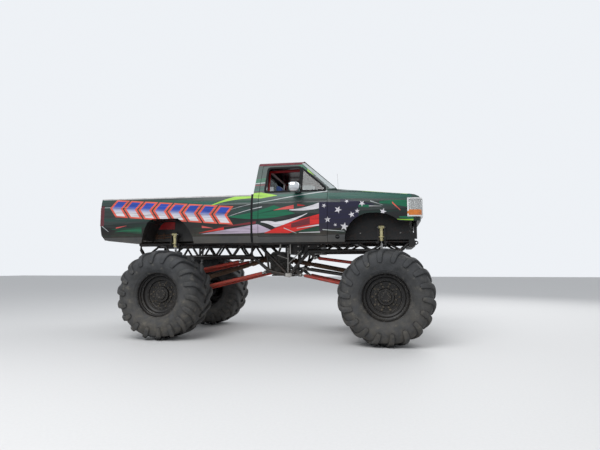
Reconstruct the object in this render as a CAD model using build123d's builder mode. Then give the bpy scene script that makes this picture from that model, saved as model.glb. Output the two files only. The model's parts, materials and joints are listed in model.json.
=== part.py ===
from build123d import *
import os
from math import atan, cos, degrees, pi, radians, sin, tan

# A full-size pickup body on a tubular show-truck chassis with very tall flotation tyres.
# +X points forward, +Y to the truck's left, +Z up. The origin is on the ground, in the
# middle of the overall length and width. All sizes are in millimetres.

# Running gear
WHEELBASE = 3550
FRONT_AXLE_X = 2050
REAR_AXLE_X = FRONT_AXLE_X - WHEELBASE
HALF_TRACK = 1000
TYRE_RADIUS = 710
AXLE_Z = TYRE_RADIUS
TREAD_SIDES = 18
WHEEL_SIDES = 12
TREAD_HALF = 270
TREAD_RADIUS = 672
SIDEWALL_AXIAL = 372
SIDEWALL_INNER = 480
CAVITY_HALF = 240
CAVITY_RADIUS = 620
BEAD_RADIUS = 336
BEAD_AXIAL = 262
RIM_LIP_RADIUS = 356
RIM_LIP_AXIAL = 278
RIM_HALF_WIDTH = 288
RIM_WALL = 10
DISH_STEP_AXIAL = 205
DISH_STEP_RADIUS = 296
DISC_AXIAL = 150
DISC_THICKNESS = 22
HUB_RADIUS = 150
HUB_INNER_AXIAL = -140
HUB_OUTER_AXIAL = 165
CAP_RADIUS = 85
CAP_AXIAL = 188
SPINDLE_RADIUS = 60
SPINDLE_GAP = 2
SPINDLE_END = HALF_TRACK + 115
KINGPIN_Y = 760
KNUCKLE_RADIUS = 90
KNUCKLE_HALF_HEIGHT = 150
STEERING_ARM_REACH = 240
STEERING_ARM_THICKNESS = 32
TIE_ROD_Z = AXLE_Z + 32
TIE_ROD_RADIUS = 20
TIE_EYE_RADIUS = 32
TIE_EYE_HALF = 19
TIE_PIN_RADIUS = 14
AXLE_TUBE_RADIUS = 78
DIFFERENTIAL_RADIUS = 190
DIFFERENTIAL_HALF = 110

# Body
BODY_HALF = 1000
BODY_BOTTOM = 1540
CREASE_Z = 2165
BELT_Z = 2320
FLOOR_BOTTOM = 1600
FLOOR_TOP = 1640
SHUT_GAP = 6
BED_REAR = -2760
BED_FRONT = -65
BED_INNER = 860
BED_FLOOR_REAR = -2684
TUB_INNER = 540
TUB_CLEARANCE = 22
TUB_WALL = 18
CAB_BACK = -40
CAB_FRONT = 1290
DOOR_REAR = 58
DOOR_FRONT = 1172
DOOR_BOTTOM = 1640
DOOR_TOP = 2828
DOOR_THICKNESS = 110
PILLAR_THICKNESS = 45
ROOF_THICKNESS = 35
DOOR_HINGE = (DOOR_FRONT + 3, -(BODY_HALF + 3))
HOOD_REAR = 1345
FENDER_FRONT = 2385
FENDER_TOP_INNER = 911
FENDER_SKIN = 30
FENDER_STEP_X = 2271
FENDER_STEP_Z = 1844
HOOD_EDGE = FENDER_TOP_INNER - SHUT_GAP
HOOD_THICKNESS = 25
NOSE_X = 2600
GRILLE_HALF = 560
TAILGATE_HALF = 850
TAILGATE_THICKNESS = 60
TAILGATE_PIVOT = (BED_REAR + 55, 1668)

# Windscreen plane, seen from the side: foot and head
SCREEN_FOOT = (1310, 2385)
SCREEN_HEAD = (765, 2880)

# Wheel arches, seen from the side
REAR_ARCH = [(-2030, 1480), (-1990, 1600), (-1925, 1790), (-1875, 1900), (-1790, 1955), (-1330, 1955),
             (-1235, 1890), (-1130, 1770), (-1070, 1650), (-1050, 1480)]
FRONT_ARCH_FOOT = (1450, 1480)
FRONT_ARCH_SHOULDER = (1548, 1845)
FRONT_ARCH_TOP = (1886, 1976)
FRONT_ARCH_BROW = (2110, 1944)

# Chassis
RAIL_Y = 450
RAIL_RADIUS = 28.5
WEB_RADIUS = 19
TUBE_SIDES = 8
RAIL_TOP_Z = 1560
RAIL_LOW_Z = 1330

os.makedirs("parts", exist_ok=True)


def bar(start, end):
    """The plane at a bar's start that looks along it, with a flat kept upright, and the bar's length."""
    run = Vector(*end) - Vector(*start)
    if start[1] == end[1]:
        return Plane(origin=start, x_dir=(0, 1, 0), z_dir=run), run.length
    return Plane(origin=start, z_dir=run), run.length


def tube(start, end, radius, sides=TUBE_SIDES):
    """A straight tube of flat sides between two points."""
    plane, length = bar(start, end)
    with BuildPart() as piece:
        with BuildSketch(plane):
            RegularPolygon(radius, sides, rotation=180 / sides)
        extrude(amount=length)
    return piece.part


def side_region(outline):
    """A region seen from the side, as a sketch that is pushed right across the truck."""
    with BuildSketch(Plane.XZ) as region:
        with BuildLine():
            Polyline(*outline, close=True)
        make_face()
    return region.sketch


def side_wall_curve():
    """The outer skin of the right-hand body side from its lower edge to the belt."""
    lower = ThreePointArc((-945, BODY_BOTTOM), (-988, 1690), (-BODY_HALF, 1880))
    flank = Line(lower @ 1, (-BODY_HALF, CREASE_Z - 8))
    crease = Line(flank @ 1, (-990, CREASE_Z + 8))
    upper = ThreePointArc(crease @ 1, (-980, 2250), (-958, BELT_Z))
    return upper @ 1


# Tyres: a carcass of flat facets with chevron lugs, staggered half a pitch from side to side
LUGS_PER_SIDE = 18
LUG_PITCH = 360 / LUGS_PER_SIDE
LUG_SWEEP = radians(20)
LUG_HALF_WIDTH = 35
LUG_INNER = 12
LUG_BEND = 285
LUG_OUTER = 371
LUG_MIDDLE = 140
# The lug's far corner, seen from the side, and the height that puts it on the ground
LUG_CORNER = (LUG_BEND - LUG_MIDDLE) * tan(LUG_SWEEP) + LUG_HALF_WIDTH
LUG_TOP = (TYRE_RADIUS - LUG_CORNER * sin(radians(LUG_PITCH / 2))) / cos(radians(LUG_PITCH / 2))
LUG_PROFILE = [
    # along the axle, radius
    (LUG_INNER, 650),
    (LUG_INNER, LUG_TOP),
    (LUG_BEND, LUG_TOP),
    (LUG_OUTER, 552),
    (330, 552),
    (290, 650),
]


def wheel_plane(centre, axial, way=1):
    """A plane across a wheel's axle at an axial place, which looks towards +Y or back."""
    return Plane(origin=(centre[0], centre[1] + axial, AXLE_Z), x_dir=(way, 0, 0), z_dir=(0, way, 0))


def wheel_disc(plane, radius, length, sides=WHEEL_SIDES, taper=0):
    """A many-sided disc on a plane, with flats at a radius, that may draw in by an angle."""
    with BuildPart() as disc:
        with BuildSketch(plane):
            RegularPolygon(radius / cos(pi / sides), sides, rotation=180 / sides)
        extrude(amount=length, taper=taper)
    return disc.part


def tyre_lug(way):
    """One lug of a half of the tread, at the top of a tyre that is centred on the origin."""
    across, along = sin(LUG_SWEEP), cos(LUG_SWEEP)
    with BuildPart() as lug:
        with BuildSketch(Plane(origin=(LUG_MIDDLE * tan(LUG_SWEEP) - LUG_HALF_WIDTH, 0, 0),
                               x_dir=(-across, way * along, 0), z_dir=(way * along, across, 0))) as side:
            with BuildLine():
                Polyline(*[(axial / along, radius) for axial, radius in LUG_PROFILE], close=True)
            make_face()
        extrude(side.sketch, amount=2 * LUG_HALF_WIDTH, dir=(1, 0, 0))
    return lug.part


def make_tyre(centre):
    """A hollow tyre with open beads and its lugs."""
    shoulder = SIDEWALL_AXIAL - TREAD_HALF
    dish = SIDEWALL_AXIAL - BEAD_AXIAL
    dish_slope = degrees(atan((SIDEWALL_INNER - BEAD_RADIUS) / dish))
    with BuildPart() as tyre:
        add(wheel_disc(wheel_plane(centre, -TREAD_HALF), TREAD_RADIUS, 2 * TREAD_HALF, TREAD_SIDES))
        for way in (1, -1):
            add(wheel_disc(wheel_plane(centre, way * TREAD_HALF, way), TREAD_RADIUS, shoulder, TREAD_SIDES,
                           taper=45))
        for way in (1, -1):
            add(wheel_disc(wheel_plane(centre, way * SIDEWALL_AXIAL, -way), SIDEWALL_INNER, dish,
                           taper=dish_slope), mode=Mode.SUBTRACT)
        for way, first in ((1, 0), (-1, LUG_PITCH / 2)):
            lug = tyre_lug(way)
            for i in range(LUGS_PER_SIDE):
                turn = first + i * LUG_PITCH
                add(lug.moved(Location((centre[0], centre[1], AXLE_Z), (0, turn, 0))))
        add(wheel_disc(wheel_plane(centre, -400), BEAD_RADIUS, 800), mode=Mode.SUBTRACT)
        add(wheel_disc(wheel_plane(centre, -CAVITY_HALF), CAVITY_RADIUS, 2 * CAVITY_HALF), mode=Mode.SUBTRACT)
    return tyre


def make_wheel(centre):
    """A right-hand wheel: barrel, two lips, stepped dish, disc and the hub that turns with it."""
    x, y = centre
    with BuildPart() as wheel:
        add(wheel_disc(wheel_plane(centre, -RIM_HALF_WIDTH), BEAD_RADIUS, 2 * RIM_HALF_WIDTH))
        for way in (1, -1):
            add(wheel_disc(wheel_plane(centre, way * RIM_LIP_AXIAL, way), RIM_LIP_RADIUS,
                           RIM_HALF_WIDTH - RIM_LIP_AXIAL))
        barrel = BEAD_RADIUS - RIM_WALL
        disc_back = DISC_AXIAL - DISC_THICKNESS
        add(wheel_disc(wheel_plane(centre, -disc_back), barrel, disc_back + RIM_HALF_WIDTH), mode=Mode.SUBTRACT)
        add(wheel_disc(wheel_plane(centre, -RIM_HALF_WIDTH), barrel, RIM_HALF_WIDTH - DISH_STEP_AXIAL),
            mode=Mode.SUBTRACT)
        add(wheel_disc(wheel_plane(centre, -DISH_STEP_AXIAL), DISH_STEP_RADIUS, DISH_STEP_AXIAL - DISC_AXIAL),
            mode=Mode.SUBTRACT)
        add(wheel_disc(wheel_plane(centre, -HUB_OUTER_AXIAL), HUB_RADIUS, HUB_OUTER_AXIAL - HUB_INNER_AXIAL))
        add(wheel_disc(wheel_plane(centre, -CAP_AXIAL), CAP_RADIUS, CAP_AXIAL - HUB_OUTER_AXIAL))
        with BuildSketch(wheel_plane(centre, -HUB_INNER_AXIAL, -1)):
            Circle(SPINDLE_RADIUS + SPINDLE_GAP)
        extrude(amount=SPINDLE_END - HALF_TRACK - HUB_INNER_AXIAL + 10, mode=Mode.SUBTRACT)
    return wheel


FRONT_RIGHT = (FRONT_AXLE_X, -HALF_TRACK)
REAR_RIGHT = (REAR_AXLE_X, -HALF_TRACK)
tyre_right = make_tyre(FRONT_RIGHT)
wheel_right = make_wheel(FRONT_RIGHT)
corner_parts = {}
for kind, made in (("tyre", tyre_right), ("wheel", wheel_right)):
    with BuildPart() as front_right:
        add(made.part)
    with BuildPart() as front_left:
        mirror(made.part, about=Plane.XZ)
    with BuildPart() as rear_right:
        add(made.part.moved(Location((-WHEELBASE, 0, 0))))
    with BuildPart() as rear_left:
        mirror(made.part.moved(Location((-WHEELBASE, 0, 0))), about=Plane.XZ)
    for corner, piece in (("front_right", front_right), ("front_left", front_left), ("rear_right", rear_right),
                          ("rear_left", rear_left)):
        corner_parts[f"{kind}_{corner}"] = piece

# Axles: top-loading housings, whose pinions sit high
YOKE_BACK_Y = 600
YOKE_PLATE = 50
YOKE_GAP = 12
YOKE_EAR = 38
YOKE_WIDTH = 150
YOKE_EAR_REACH = KINGPIN_Y + 60
REAR_CASING_END = 780
HUMP_HALF = 85
HUMPS = {
    # axle x: (top height, half length)
    FRONT_AXLE_X: (1050, 110),
    REAR_AXLE_X: (965, 110),
}
SHOCK_FOOT_Y = 470
SHOCK_FOOT_Z = 835
SHOCK_HEAD_Y = 650


def axle_middle(x, casing_end):
    """An axle's casing with its differential and the raised pinion housing."""
    top, half = HUMPS[x]
    with BuildPart() as middle:
        add(tube((x, -casing_end, AXLE_Z), (x, casing_end, AXLE_Z), AXLE_TUBE_RADIUS))
        with BuildSketch(Plane.XZ.offset(-DIFFERENTIAL_HALF)):
            with Locations((x, AXLE_Z)):
                RegularPolygon(DIFFERENTIAL_RADIUS, WHEEL_SIDES)
        extrude(amount=2 * DIFFERENTIAL_HALF)
        extrude(side_region([(x - half, AXLE_Z), (x - half, top - 45), (x - half + 45, top),
                             (x + half - 45, top), (x + half, top - 45), (x + half, AXLE_Z)]),
                amount=HUMP_HALF, both=True)
    return middle.part


with BuildPart() as front_axle:
    add(axle_middle(FRONT_AXLE_X, YOKE_BACK_Y))
    ear_low = KNUCKLE_HALF_HEIGHT + YOKE_GAP
    ear_high = ear_low + YOKE_EAR
    for way in (1, -1):
        plate_y = YOKE_BACK_Y + YOKE_PLATE / 2
        with BuildSketch(Plane.XY.offset(AXLE_Z - ear_high)):
            with Locations((FRONT_AXLE_X, way * plate_y)):
                Rectangle(YOKE_WIDTH, YOKE_PLATE)
        extrude(amount=2 * ear_high)
        for foot in (AXLE_Z + ear_low, AXLE_Z - ear_high):
            with BuildSketch(Plane.XY.offset(foot)):
                with Locations((FRONT_AXLE_X, way * (YOKE_BACK_Y + YOKE_EAR_REACH) / 2)):
                    Rectangle(YOKE_WIDTH, YOKE_EAR_REACH - YOKE_BACK_Y)
            extrude(amount=YOKE_EAR)

with BuildPart() as rear_axle:
    add(axle_middle(REAR_AXLE_X, REAR_CASING_END))
    with BuildSketch(Plane.XZ.offset(-SPINDLE_END)):
        with Locations((REAR_AXLE_X, AXLE_Z)):
            Circle(SPINDLE_RADIUS)
    extrude(amount=2 * SPINDLE_END)

ARM_ROOT = 60
ARM_ROOT_HALF = 45
ARM_TIP_HALF = 28
ARM_TOP = TIE_ROD_Z - TIE_ROD_RADIUS - 5
KINGPIN_RADIUS = 30
with BuildPart() as knuckle_right:
    with BuildSketch(Plane.XY.offset(AXLE_Z - KNUCKLE_HALF_HEIGHT)):
        with Locations((FRONT_AXLE_X, -KINGPIN_Y)):
            RegularPolygon(KNUCKLE_RADIUS, TUBE_SIDES, rotation=180 / TUBE_SIDES)
    extrude(amount=2 * KNUCKLE_HALF_HEIGHT)
    for foot in (AXLE_Z - KNUCKLE_HALF_HEIGHT - YOKE_GAP, AXLE_Z + KNUCKLE_HALF_HEIGHT):
        with BuildSketch(Plane.XY.offset(foot)):
            with Locations((FRONT_AXLE_X, -KINGPIN_Y)):
                Circle(KINGPIN_RADIUS)
        extrude(amount=YOKE_GAP)
    with BuildSketch(Plane.XZ.offset(KINGPIN_Y)):
        with Locations((FRONT_AXLE_X, AXLE_Z)):
            Circle(SPINDLE_RADIUS)
    extrude(amount=SPINDLE_END - KINGPIN_Y)
    arm_tip = FRONT_AXLE_X + STEERING_ARM_REACH + ARM_TIP_HALF
    with BuildSketch(Plane.XY.offset(ARM_TOP)):
        with BuildLine():
            Polyline((FRONT_AXLE_X + ARM_ROOT, -KINGPIN_Y - ARM_ROOT_HALF), (arm_tip, -KINGPIN_Y - ARM_TIP_HALF),
                     (arm_tip, -KINGPIN_Y + ARM_TIP_HALF), (FRONT_AXLE_X + ARM_ROOT, -KINGPIN_Y + ARM_ROOT_HALF),
                     close=True)
        make_face()
    extrude(amount=-STEERING_ARM_THICKNESS)
    with BuildSketch(Plane.XY.offset(AXLE_Z)):
        with Locations((FRONT_AXLE_X + STEERING_ARM_REACH, -KINGPIN_Y)):
            Circle(TIE_PIN_RADIUS)
    extrude(amount=TIE_ROD_Z + TIE_EYE_HALF + 8 - AXLE_Z)

with BuildPart() as knuckle_left:
    mirror(knuckle_right.part, about=Plane.XZ)

# The rod joins two parallel arms, so it always stays square to the truck
TIE_X = FRONT_AXLE_X + STEERING_ARM_REACH
with BuildPart() as tie_rod:
    rod_end = KINGPIN_Y - TIE_EYE_RADIUS / 2
    add(tube((TIE_X, -rod_end, TIE_ROD_Z), (TIE_X, rod_end, TIE_ROD_Z), TIE_ROD_RADIUS))
    with BuildSketch(Plane.XY.offset(TIE_ROD_Z - TIE_EYE_HALF)):
        with Locations((TIE_X, KINGPIN_Y), (TIE_X, -KINGPIN_Y)):
            RegularPolygon(TIE_EYE_RADIUS, TUBE_SIDES)
    extrude(amount=2 * TIE_EYE_HALF)
    with BuildSketch(Plane.XY.offset(TIE_ROD_Z - TIE_EYE_HALF - 5)):
        with Locations((TIE_X, KINGPIN_Y), (TIE_X, -KINGPIN_Y)):
            Circle(TIE_PIN_RADIUS + 0.5)
    extrude(amount=2 * TIE_EYE_HALF + 10, mode=Mode.SUBTRACT)

# Chassis trusses, one each side
REAR_END_X = -2300
FRONT_END_X = 2430
BELLY = (445, 1005)
LEG_TOP = (790, 1420)
RAIL_RUN = [
    # one bent tube, from the front of the top rail round the rear end to the front of the lower rail
    (FRONT_END_X + 100, RAIL_TOP_Z),
    (REAR_END_X, RAIL_TOP_Z),
    (-2290, 1455),
    (-2235, 1370),
    (-2120, RAIL_LOW_Z),
    (-190, RAIL_LOW_Z),
    (100, 1090),
    BELLY,
    LEG_TOP,
    (2300, LEG_TOP[1]),
]
BRACES = [
    # start x, z, end x, z
    (-100, RAIL_TOP_Z, *BELLY),
    (2300, LEG_TOP[1], FRONT_END_X, RAIL_TOP_Z - 30),
]
RAIL_SIDES = 6
# Where the rails' inner flats lie, which the cross tubes end on
RAIL_INNER = RAIL_Y - RAIL_RADIUS * cos(pi / RAIL_SIDES)
SINGLE_WEBS = [
    # top x, top z, foot x, foot z
    (-1890, RAIL_TOP_Z, -2165, 1346),
    (-1840, RAIL_TOP_Z, -1690, RAIL_LOW_Z),
    (-1550, RAIL_TOP_Z, -1550, RAIL_LOW_Z),
    (-1335, RAIL_TOP_Z, -1470, RAIL_LOW_Z),
    (-1335, RAIL_TOP_Z, -1185, RAIL_LOW_Z),
    (-205, RAIL_TOP_Z, -205, RAIL_LOW_Z),
    (60, 1397, 100, 1090),
    (330, RAIL_TOP_Z, 215, 1239),
    (BELLY[0], RAIL_TOP_Z, *BELLY),
    (700, RAIL_TOP_Z, 620, 1215),
]


def zigzag(start_x, end_x, foot_z, count):
    """Web tubes that run up and down between the top rail and a lower one."""
    step = (end_x - start_x) / count
    webs = []
    for i in range(count):
        ends = (foot_z, RAIL_TOP_Z) if i % 2 == 0 else (RAIL_TOP_Z, foot_z)
        webs.append((start_x + i * step, ends[0], start_x + (i + 1) * step, ends[1]))
    return webs


WEBS = SINGLE_WEBS + zigzag(-1185, -245, RAIL_LOW_Z, 6) + zigzag(890, 2300, LEG_TOP[1], 6)
SHOCKS = [
    # x, head z
    (FRONT_AXLE_X - 50, 1785),
    (REAR_AXLE_X - 50, 1715),
]
EAR_PLATE = 12
EAR_HALF = 35
SHOCK_EYE_HALF = 46
SHOCK_EYE_RADIUS = 24
OUTRIGGER_Z = 1545
OUTRIGGER_SPREAD = 70
BODY_MOUNTS_X = (-2050, -800, 300, 1100)
MOUNT_PAD = (100, 50)
with BuildPart() as frame_trusses:
    with BuildLine(Plane.XZ.offset(RAIL_Y)) as run:
        Polyline(*RAIL_RUN)
    with BuildSketch(Plane(origin=run.line @ 0, x_dir=(0, 1, 0), z_dir=(-1, 0, 0))):
        RegularPolygon(RAIL_RADIUS, RAIL_SIDES, rotation=180 / RAIL_SIDES)
    sweep(path=run.line, transition=Transition.RIGHT)
    for rows, radius in ((BRACES, RAIL_RADIUS), (WEBS, WEB_RADIUS)):
        for x0, z0, x1, z1 in rows:
            add(tube((x0, -RAIL_Y, z0), (x1, -RAIL_Y, z1), radius, RAIL_SIDES))
    for x, head_z in SHOCKS:
        for way in (1, -1):
            out_x = x + way * OUTRIGGER_SPREAD
            add(tube((out_x, -RAIL_Y, OUTRIGGER_Z), (out_x, -SHOCK_HEAD_Y, OUTRIGGER_Z), WEB_RADIUS,
                     RAIL_SIDES))
            low, high = OUTRIGGER_Z - EAR_HALF, head_z + EAR_HALF
            with BuildSketch(Plane.YZ.offset(x + way * (SHOCK_EYE_HALF + EAR_PLATE / 2))):
                with BuildLine():
                    Polyline((-SHOCK_HEAD_Y - EAR_HALF, low), (-SHOCK_HEAD_Y - EAR_HALF / 2, high),
                             (-SHOCK_HEAD_Y + EAR_HALF / 2, high), (-SHOCK_HEAD_Y + EAR_HALF, low), close=True)
                make_face()
            extrude(amount=EAR_PLATE / 2, both=True)
    with BuildSketch(Plane.XY.offset(RAIL_TOP_Z)):
        with Locations([(x, -RAIL_Y) for x in BODY_MOUNTS_X]):
            Rectangle(*MOUNT_PAD)
    extrude(amount=FLOOR_BOTTOM - RAIL_TOP_Z)
    with BuildSketch(Plane.YZ.offset(FRONT_END_X)):
        with Locations((-RAIL_Y, RAIL_TOP_Z)):
            Rectangle(300, 500)
    extrude(amount=300, mode=Mode.SUBTRACT)
    mirror(about=Plane.XZ)

EYE_RADIUS = 32
EYE_HALF = 22
LINKS = [
    # frame eye x, z, carried at x, z, axle eye x, z, carried at x, z, y
    (640, 1020, 540, 1119, 1915, 750, FRONT_AXLE_X, AXLE_Z, 380),
    (655, 1126, 540, 1119, 1950, 925, FRONT_AXLE_X - 10, AXLE_Z + 20, 220),
    (870, 1310, *LEG_TOP, 1980, 1160, FRONT_AXLE_X - 10, AXLE_Z + 40, 300),
    (20, 1062, 100, 1090, -1365, 735, REAR_AXLE_X, AXLE_Z, 380),
    (-430, 1262, -420, RAIL_LOW_Z, -1440, 1050, REAR_AXLE_X + 10, AXLE_Z + 40, 300),
]
FRONT_LINKS, REAR_LINKS = LINKS[:3], LINKS[3:]
LINK_RADIUS = 27
CASE_HALF_WIDTH = 180
CROSS_TUBES = [
    # x, z, how near it comes to the middle
    (REAR_END_X + 60, RAIL_TOP_Z, 0),
    (-1900, RAIL_LOW_Z, 0),
    (-1100, RAIL_LOW_Z, 0),
    (-420, RAIL_LOW_Z, 0),
    (100, 1090, CASE_HALF_WIDTH),
    (300, 1152.7, CASE_HALF_WIDTH),
    (*BELLY, 0),
    (540, 1119.3, 0),
    (*LEG_TOP, 0),
    (2300, LEG_TOP[1], 0),
]
FRONT_BOX_TOP = 1700
FRONT_BOX_END = FRONT_END_X + 90
FRONT_BOX_HALF = 520
APRON_THICKNESS = 20
APRON_TOP = 2150
FIREWALL_X = 1230
FIREWALL_THICKNESS = 40
CASE_BOTTOM = 1020


def ear_pair(eye, root, y):
    """Two parallel plates that run from what carries them to either side of an eye."""
    run = (Vector(*eye) - Vector(*root)).normalized()
    side = Vector(-run.Y, run.X) * EYE_RADIUS
    tip = Vector(*eye) + run * EYE_RADIUS * 0.8
    outline = [Vector(*root) + side, tip + side * 0.6, tip - side * 0.6, Vector(*root) - side]
    with BuildPart() as pair:
        for way in (1, -1):
            with BuildSketch(Plane.XZ.offset(y + way * (EYE_HALF + EAR_PLATE / 2))):
                with BuildLine():
                    Polyline(*[(point.X, point.Y) for point in outline], close=True)
                make_face()
            extrude(amount=EAR_PLATE / 2, both=True)
    return pair.part


BOXES = [
    # x from, x to, y from, y to, z from, z to, on each side
    (1525, 1595, 0, RAIL_INNER, RAIL_TOP_Z - 20, FLOOR_BOTTOM),
    (2005, 2075, 0, RAIL_INNER, RAIL_TOP_Z - 20, FLOOR_BOTTOM),
    (120, 520, 0, 320, CASE_BOTTOM - 22, CASE_BOTTOM),
    (375, 985, 0, 400, 1375, 1540),
    (FRONT_END_X, FRONT_BOX_END, 0, FRONT_BOX_HALF, 1470, FRONT_BOX_TOP),
    (2512, 2560, 470, FRONT_BOX_HALF, 1600, FENDER_STEP_Z),
    (FIREWALL_X + FIREWALL_THICKNESS, FRONT_END_X + 10, FRONT_BOX_HALF - APRON_THICKNESS, FRONT_BOX_HALF,
     1590, APRON_TOP),
]
TOW_EYE = (FRONT_BOX_END + 40, 1545)
TOW_EYE_Y = 350
TOW_EYE_HALF = 12
TOW_HOLE_RADIUS = 14
REAR_TOW_EYE = (REAR_END_X - 62, RAIL_TOP_Z)
with BuildPart() as frame_crossmembers:
    for x, z, inner in CROSS_TUBES:
        for side in (1, -1):
            add(tube((x, side * inner, z), (x, side * RAIL_INNER, z), WEB_RADIUS, RAIL_SIDES))
    for link in LINKS:
        for side in (1, -1):
            add(ear_pair(link[0:2], link[2:4], side * link[8]))
    for x0, x1, y0, y1, z0, z1 in BOXES:
        for side in (1, -1):
            with BuildSketch(Plane.XY.offset(z0)):
                with Locations(((x0 + x1) / 2, side * (y0 + y1) / 2)):
                    Rectangle(x1 - x0, y1 - y0)
            extrude(amount=z1 - z0)
    for (x, z), root_x in ((TOW_EYE, FRONT_BOX_END), (REAR_TOW_EYE, REAR_END_X + 60)):
        out = 1 if x > 0 else -1
        for side in (1, -1):
            with BuildSketch(Plane.XZ.offset(side * TOW_EYE_Y)):
                with BuildLine():
                    Polyline((root_x, z - 35), (x, z - 35), (x + out * 28, z - 15), (x + out * 28, z + 15),
                             (x, z + 35), (root_x, z + 35), close=True)
                make_face()
                with Locations((x, z)):
                    Circle(TOW_HOLE_RADIUS, mode=Mode.SUBTRACT)
            extrude(amount=TOW_EYE_HALF, both=True)

for axle, rows in ((front_axle, FRONT_LINKS), (rear_axle, REAR_LINKS)):
    with axle:
        for link in rows:
            for side in (1, -1):
                add(ear_pair(link[4:6], link[6:8], side * link[8]))

ENGINE_X = 1800
with BuildPart() as engine:
    with BuildSketch(Plane.XY.offset(FLOOR_BOTTOM)):
        with Locations((ENGINE_X, 0)):
            Rectangle(650, 620)
    extrude(amount=600)

CASE_REAR = 50
CASE_FRONT = 350
CASE_TOP = 1420
SHAFT_RADIUS = 40
NOSE_RADIUS = 62
SHAFTS = [
    # case end x, z, axle x, z
    (CASE_FRONT, 1280, FRONT_AXLE_X, 960),
    (CASE_REAR, 1320, REAR_AXLE_X, 870),
]
CASE_NOSE = 70
PINION_NOSE = 300
with BuildPart() as transfer_case:
    extrude(side_region([(CASE_REAR, CASE_BOTTOM + 50), (CASE_REAR + 50, CASE_BOTTOM), (CASE_FRONT, CASE_BOTTOM),
                         (CASE_FRONT, CASE_TOP - 80), (CASE_FRONT - 60, CASE_TOP), (CASE_REAR + 50, CASE_TOP),
                         (CASE_REAR, CASE_TOP - 50)]), amount=CASE_HALF_WIDTH, both=True)
    for x0, z0, x1, z1 in SHAFTS:
        plane, length = bar((x0, 0, z0), (x1, 0, z1))
        with BuildSketch(plane.offset(-60)):
            RegularPolygon(NOSE_RADIUS, TUBE_SIDES)
        extrude(amount=CASE_NOSE + 60)

for axle, (x0, z0, x1, z1) in ((front_axle, SHAFTS[0]), (rear_axle, SHAFTS[1])):
    with axle:
        plane, length = bar((x1, 0, z1), (x0, 0, z0))
        with BuildSketch(plane):
            RegularPolygon(NOSE_RADIUS, TUBE_SIDES)
        extrude(amount=PINION_NOSE)

with BuildPart() as driveshafts:
    for x0, z0, x1, z1 in SHAFTS:
        plane, length = bar((x0, 0, z0), (x1, 0, z1))
        with BuildSketch(plane.offset(CASE_NOSE)):
            RegularPolygon(SHAFT_RADIUS, TUBE_SIDES)
        extrude(amount=length - CASE_NOSE - PINION_NOSE)

LINK_NECK = 46
NECK_RADIUS = 17
with BuildPart() as link_bars:
    for link in LINKS:
        y = link[8]
        plane, length = bar((link[0], -y, link[1]), (link[4], -y, link[5]))
        with BuildSketch(plane.offset(LINK_NECK)):
            RegularPolygon(LINK_RADIUS, RAIL_SIDES)
        extrude(amount=length - 2 * LINK_NECK)
        with BuildSketch(plane):
            RegularPolygon(NECK_RADIUS, 4)
        extrude(amount=length)
        with BuildSketch(Plane.XZ.offset(y)):
            with Locations((link[0], link[1]), (link[4], link[5])):
                RegularPolygon(EYE_RADIUS, RAIL_SIDES)
        extrude(amount=EYE_HALF, both=True)
    mirror(about=Plane.XZ)

SHOCK_SHAFT_RADIUS = 19
SHOCK_BODY = [
    # from and to along the shock from its head, radius
    (16, 150, 27),
    (150, 164, 44),
    (164, 220, 31),
]
SHOCK_BODY_END = SHOCK_BODY[-1][1]
for axle, (x, head_z) in ((front_axle, SHOCKS[0]), (rear_axle, SHOCKS[1])):
    with axle:
        for side in (1, -1):
            for way in (1, -1):
                with BuildSketch(Plane.YZ.offset(x + way * (SHOCK_EYE_HALF / 2 + EAR_PLATE / 2))):
                    with Locations((side * SHOCK_FOOT_Y, (SHOCK_FOOT_Z + AXLE_Z) / 2 + 10)):
                        Rectangle(2 * EAR_HALF, SHOCK_FOOT_Z - AXLE_Z + 60)
                extrude(amount=EAR_PLATE / 2, both=True)

with BuildPart() as shock_bodies:
    for x, head_z in SHOCKS:
        plane, length = bar((x, -SHOCK_HEAD_Y, head_z), (x, -SHOCK_FOOT_Y, SHOCK_FOOT_Z))
        for start, end, radius in SHOCK_BODY:
            with BuildSketch(plane.offset(start)):
                RegularPolygon(radius, RAIL_SIDES)
            extrude(amount=end - start)
        add(tube((x - SHOCK_EYE_HALF, -SHOCK_HEAD_Y, head_z), (x + SHOCK_EYE_HALF, -SHOCK_HEAD_Y, head_z),
                 SHOCK_EYE_RADIUS, RAIL_SIDES))
    mirror(about=Plane.XZ)
with BuildPart() as shock_shafts:
    for x, head_z in SHOCKS:
        plane, length = bar((x, -SHOCK_FOOT_Y, SHOCK_FOOT_Z), (x, -SHOCK_HEAD_Y, head_z))
        with BuildSketch(plane):
            RegularPolygon(SHOCK_SHAFT_RADIUS, TUBE_SIDES)
        extrude(amount=length - SHOCK_BODY_END)
        add(tube((x - SHOCK_EYE_HALF / 2, -SHOCK_FOOT_Y, SHOCK_FOOT_Z),
                 (x + SHOCK_EYE_HALF / 2, -SHOCK_FOOT_Y, SHOCK_FOOT_Z), SHOCK_EYE_RADIUS, RAIL_SIDES))
    mirror(about=Plane.XZ)

# Bed


def tub_solid(side, grown, depth=0):
    """A side's rear wheel tub as a full block: the arch's outline grown, and pushed in from the bed wall."""
    with BuildPart() as block:
        with BuildSketch(Plane.XZ) as outline:
            with BuildLine():
                Polyline(*REAR_ARCH, close=True)
            make_face()
            offset(amount=grown, kind=Kind.INTERSECTION)
        extrude(outline.sketch, amount=BED_INNER, dir=(0, side, 0))
        with BuildSketch(Plane.XZ) as middle:
            with Locations(((REAR_ARCH[0][0] + REAR_ARCH[-1][0]) / 2, BELT_Z / 2)):
                Rectangle(2000, 2 * BELT_Z)
        extrude(middle.sketch, amount=TUB_INNER + depth, dir=(0, side, 0), mode=Mode.SUBTRACT)
    return block.part


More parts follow.
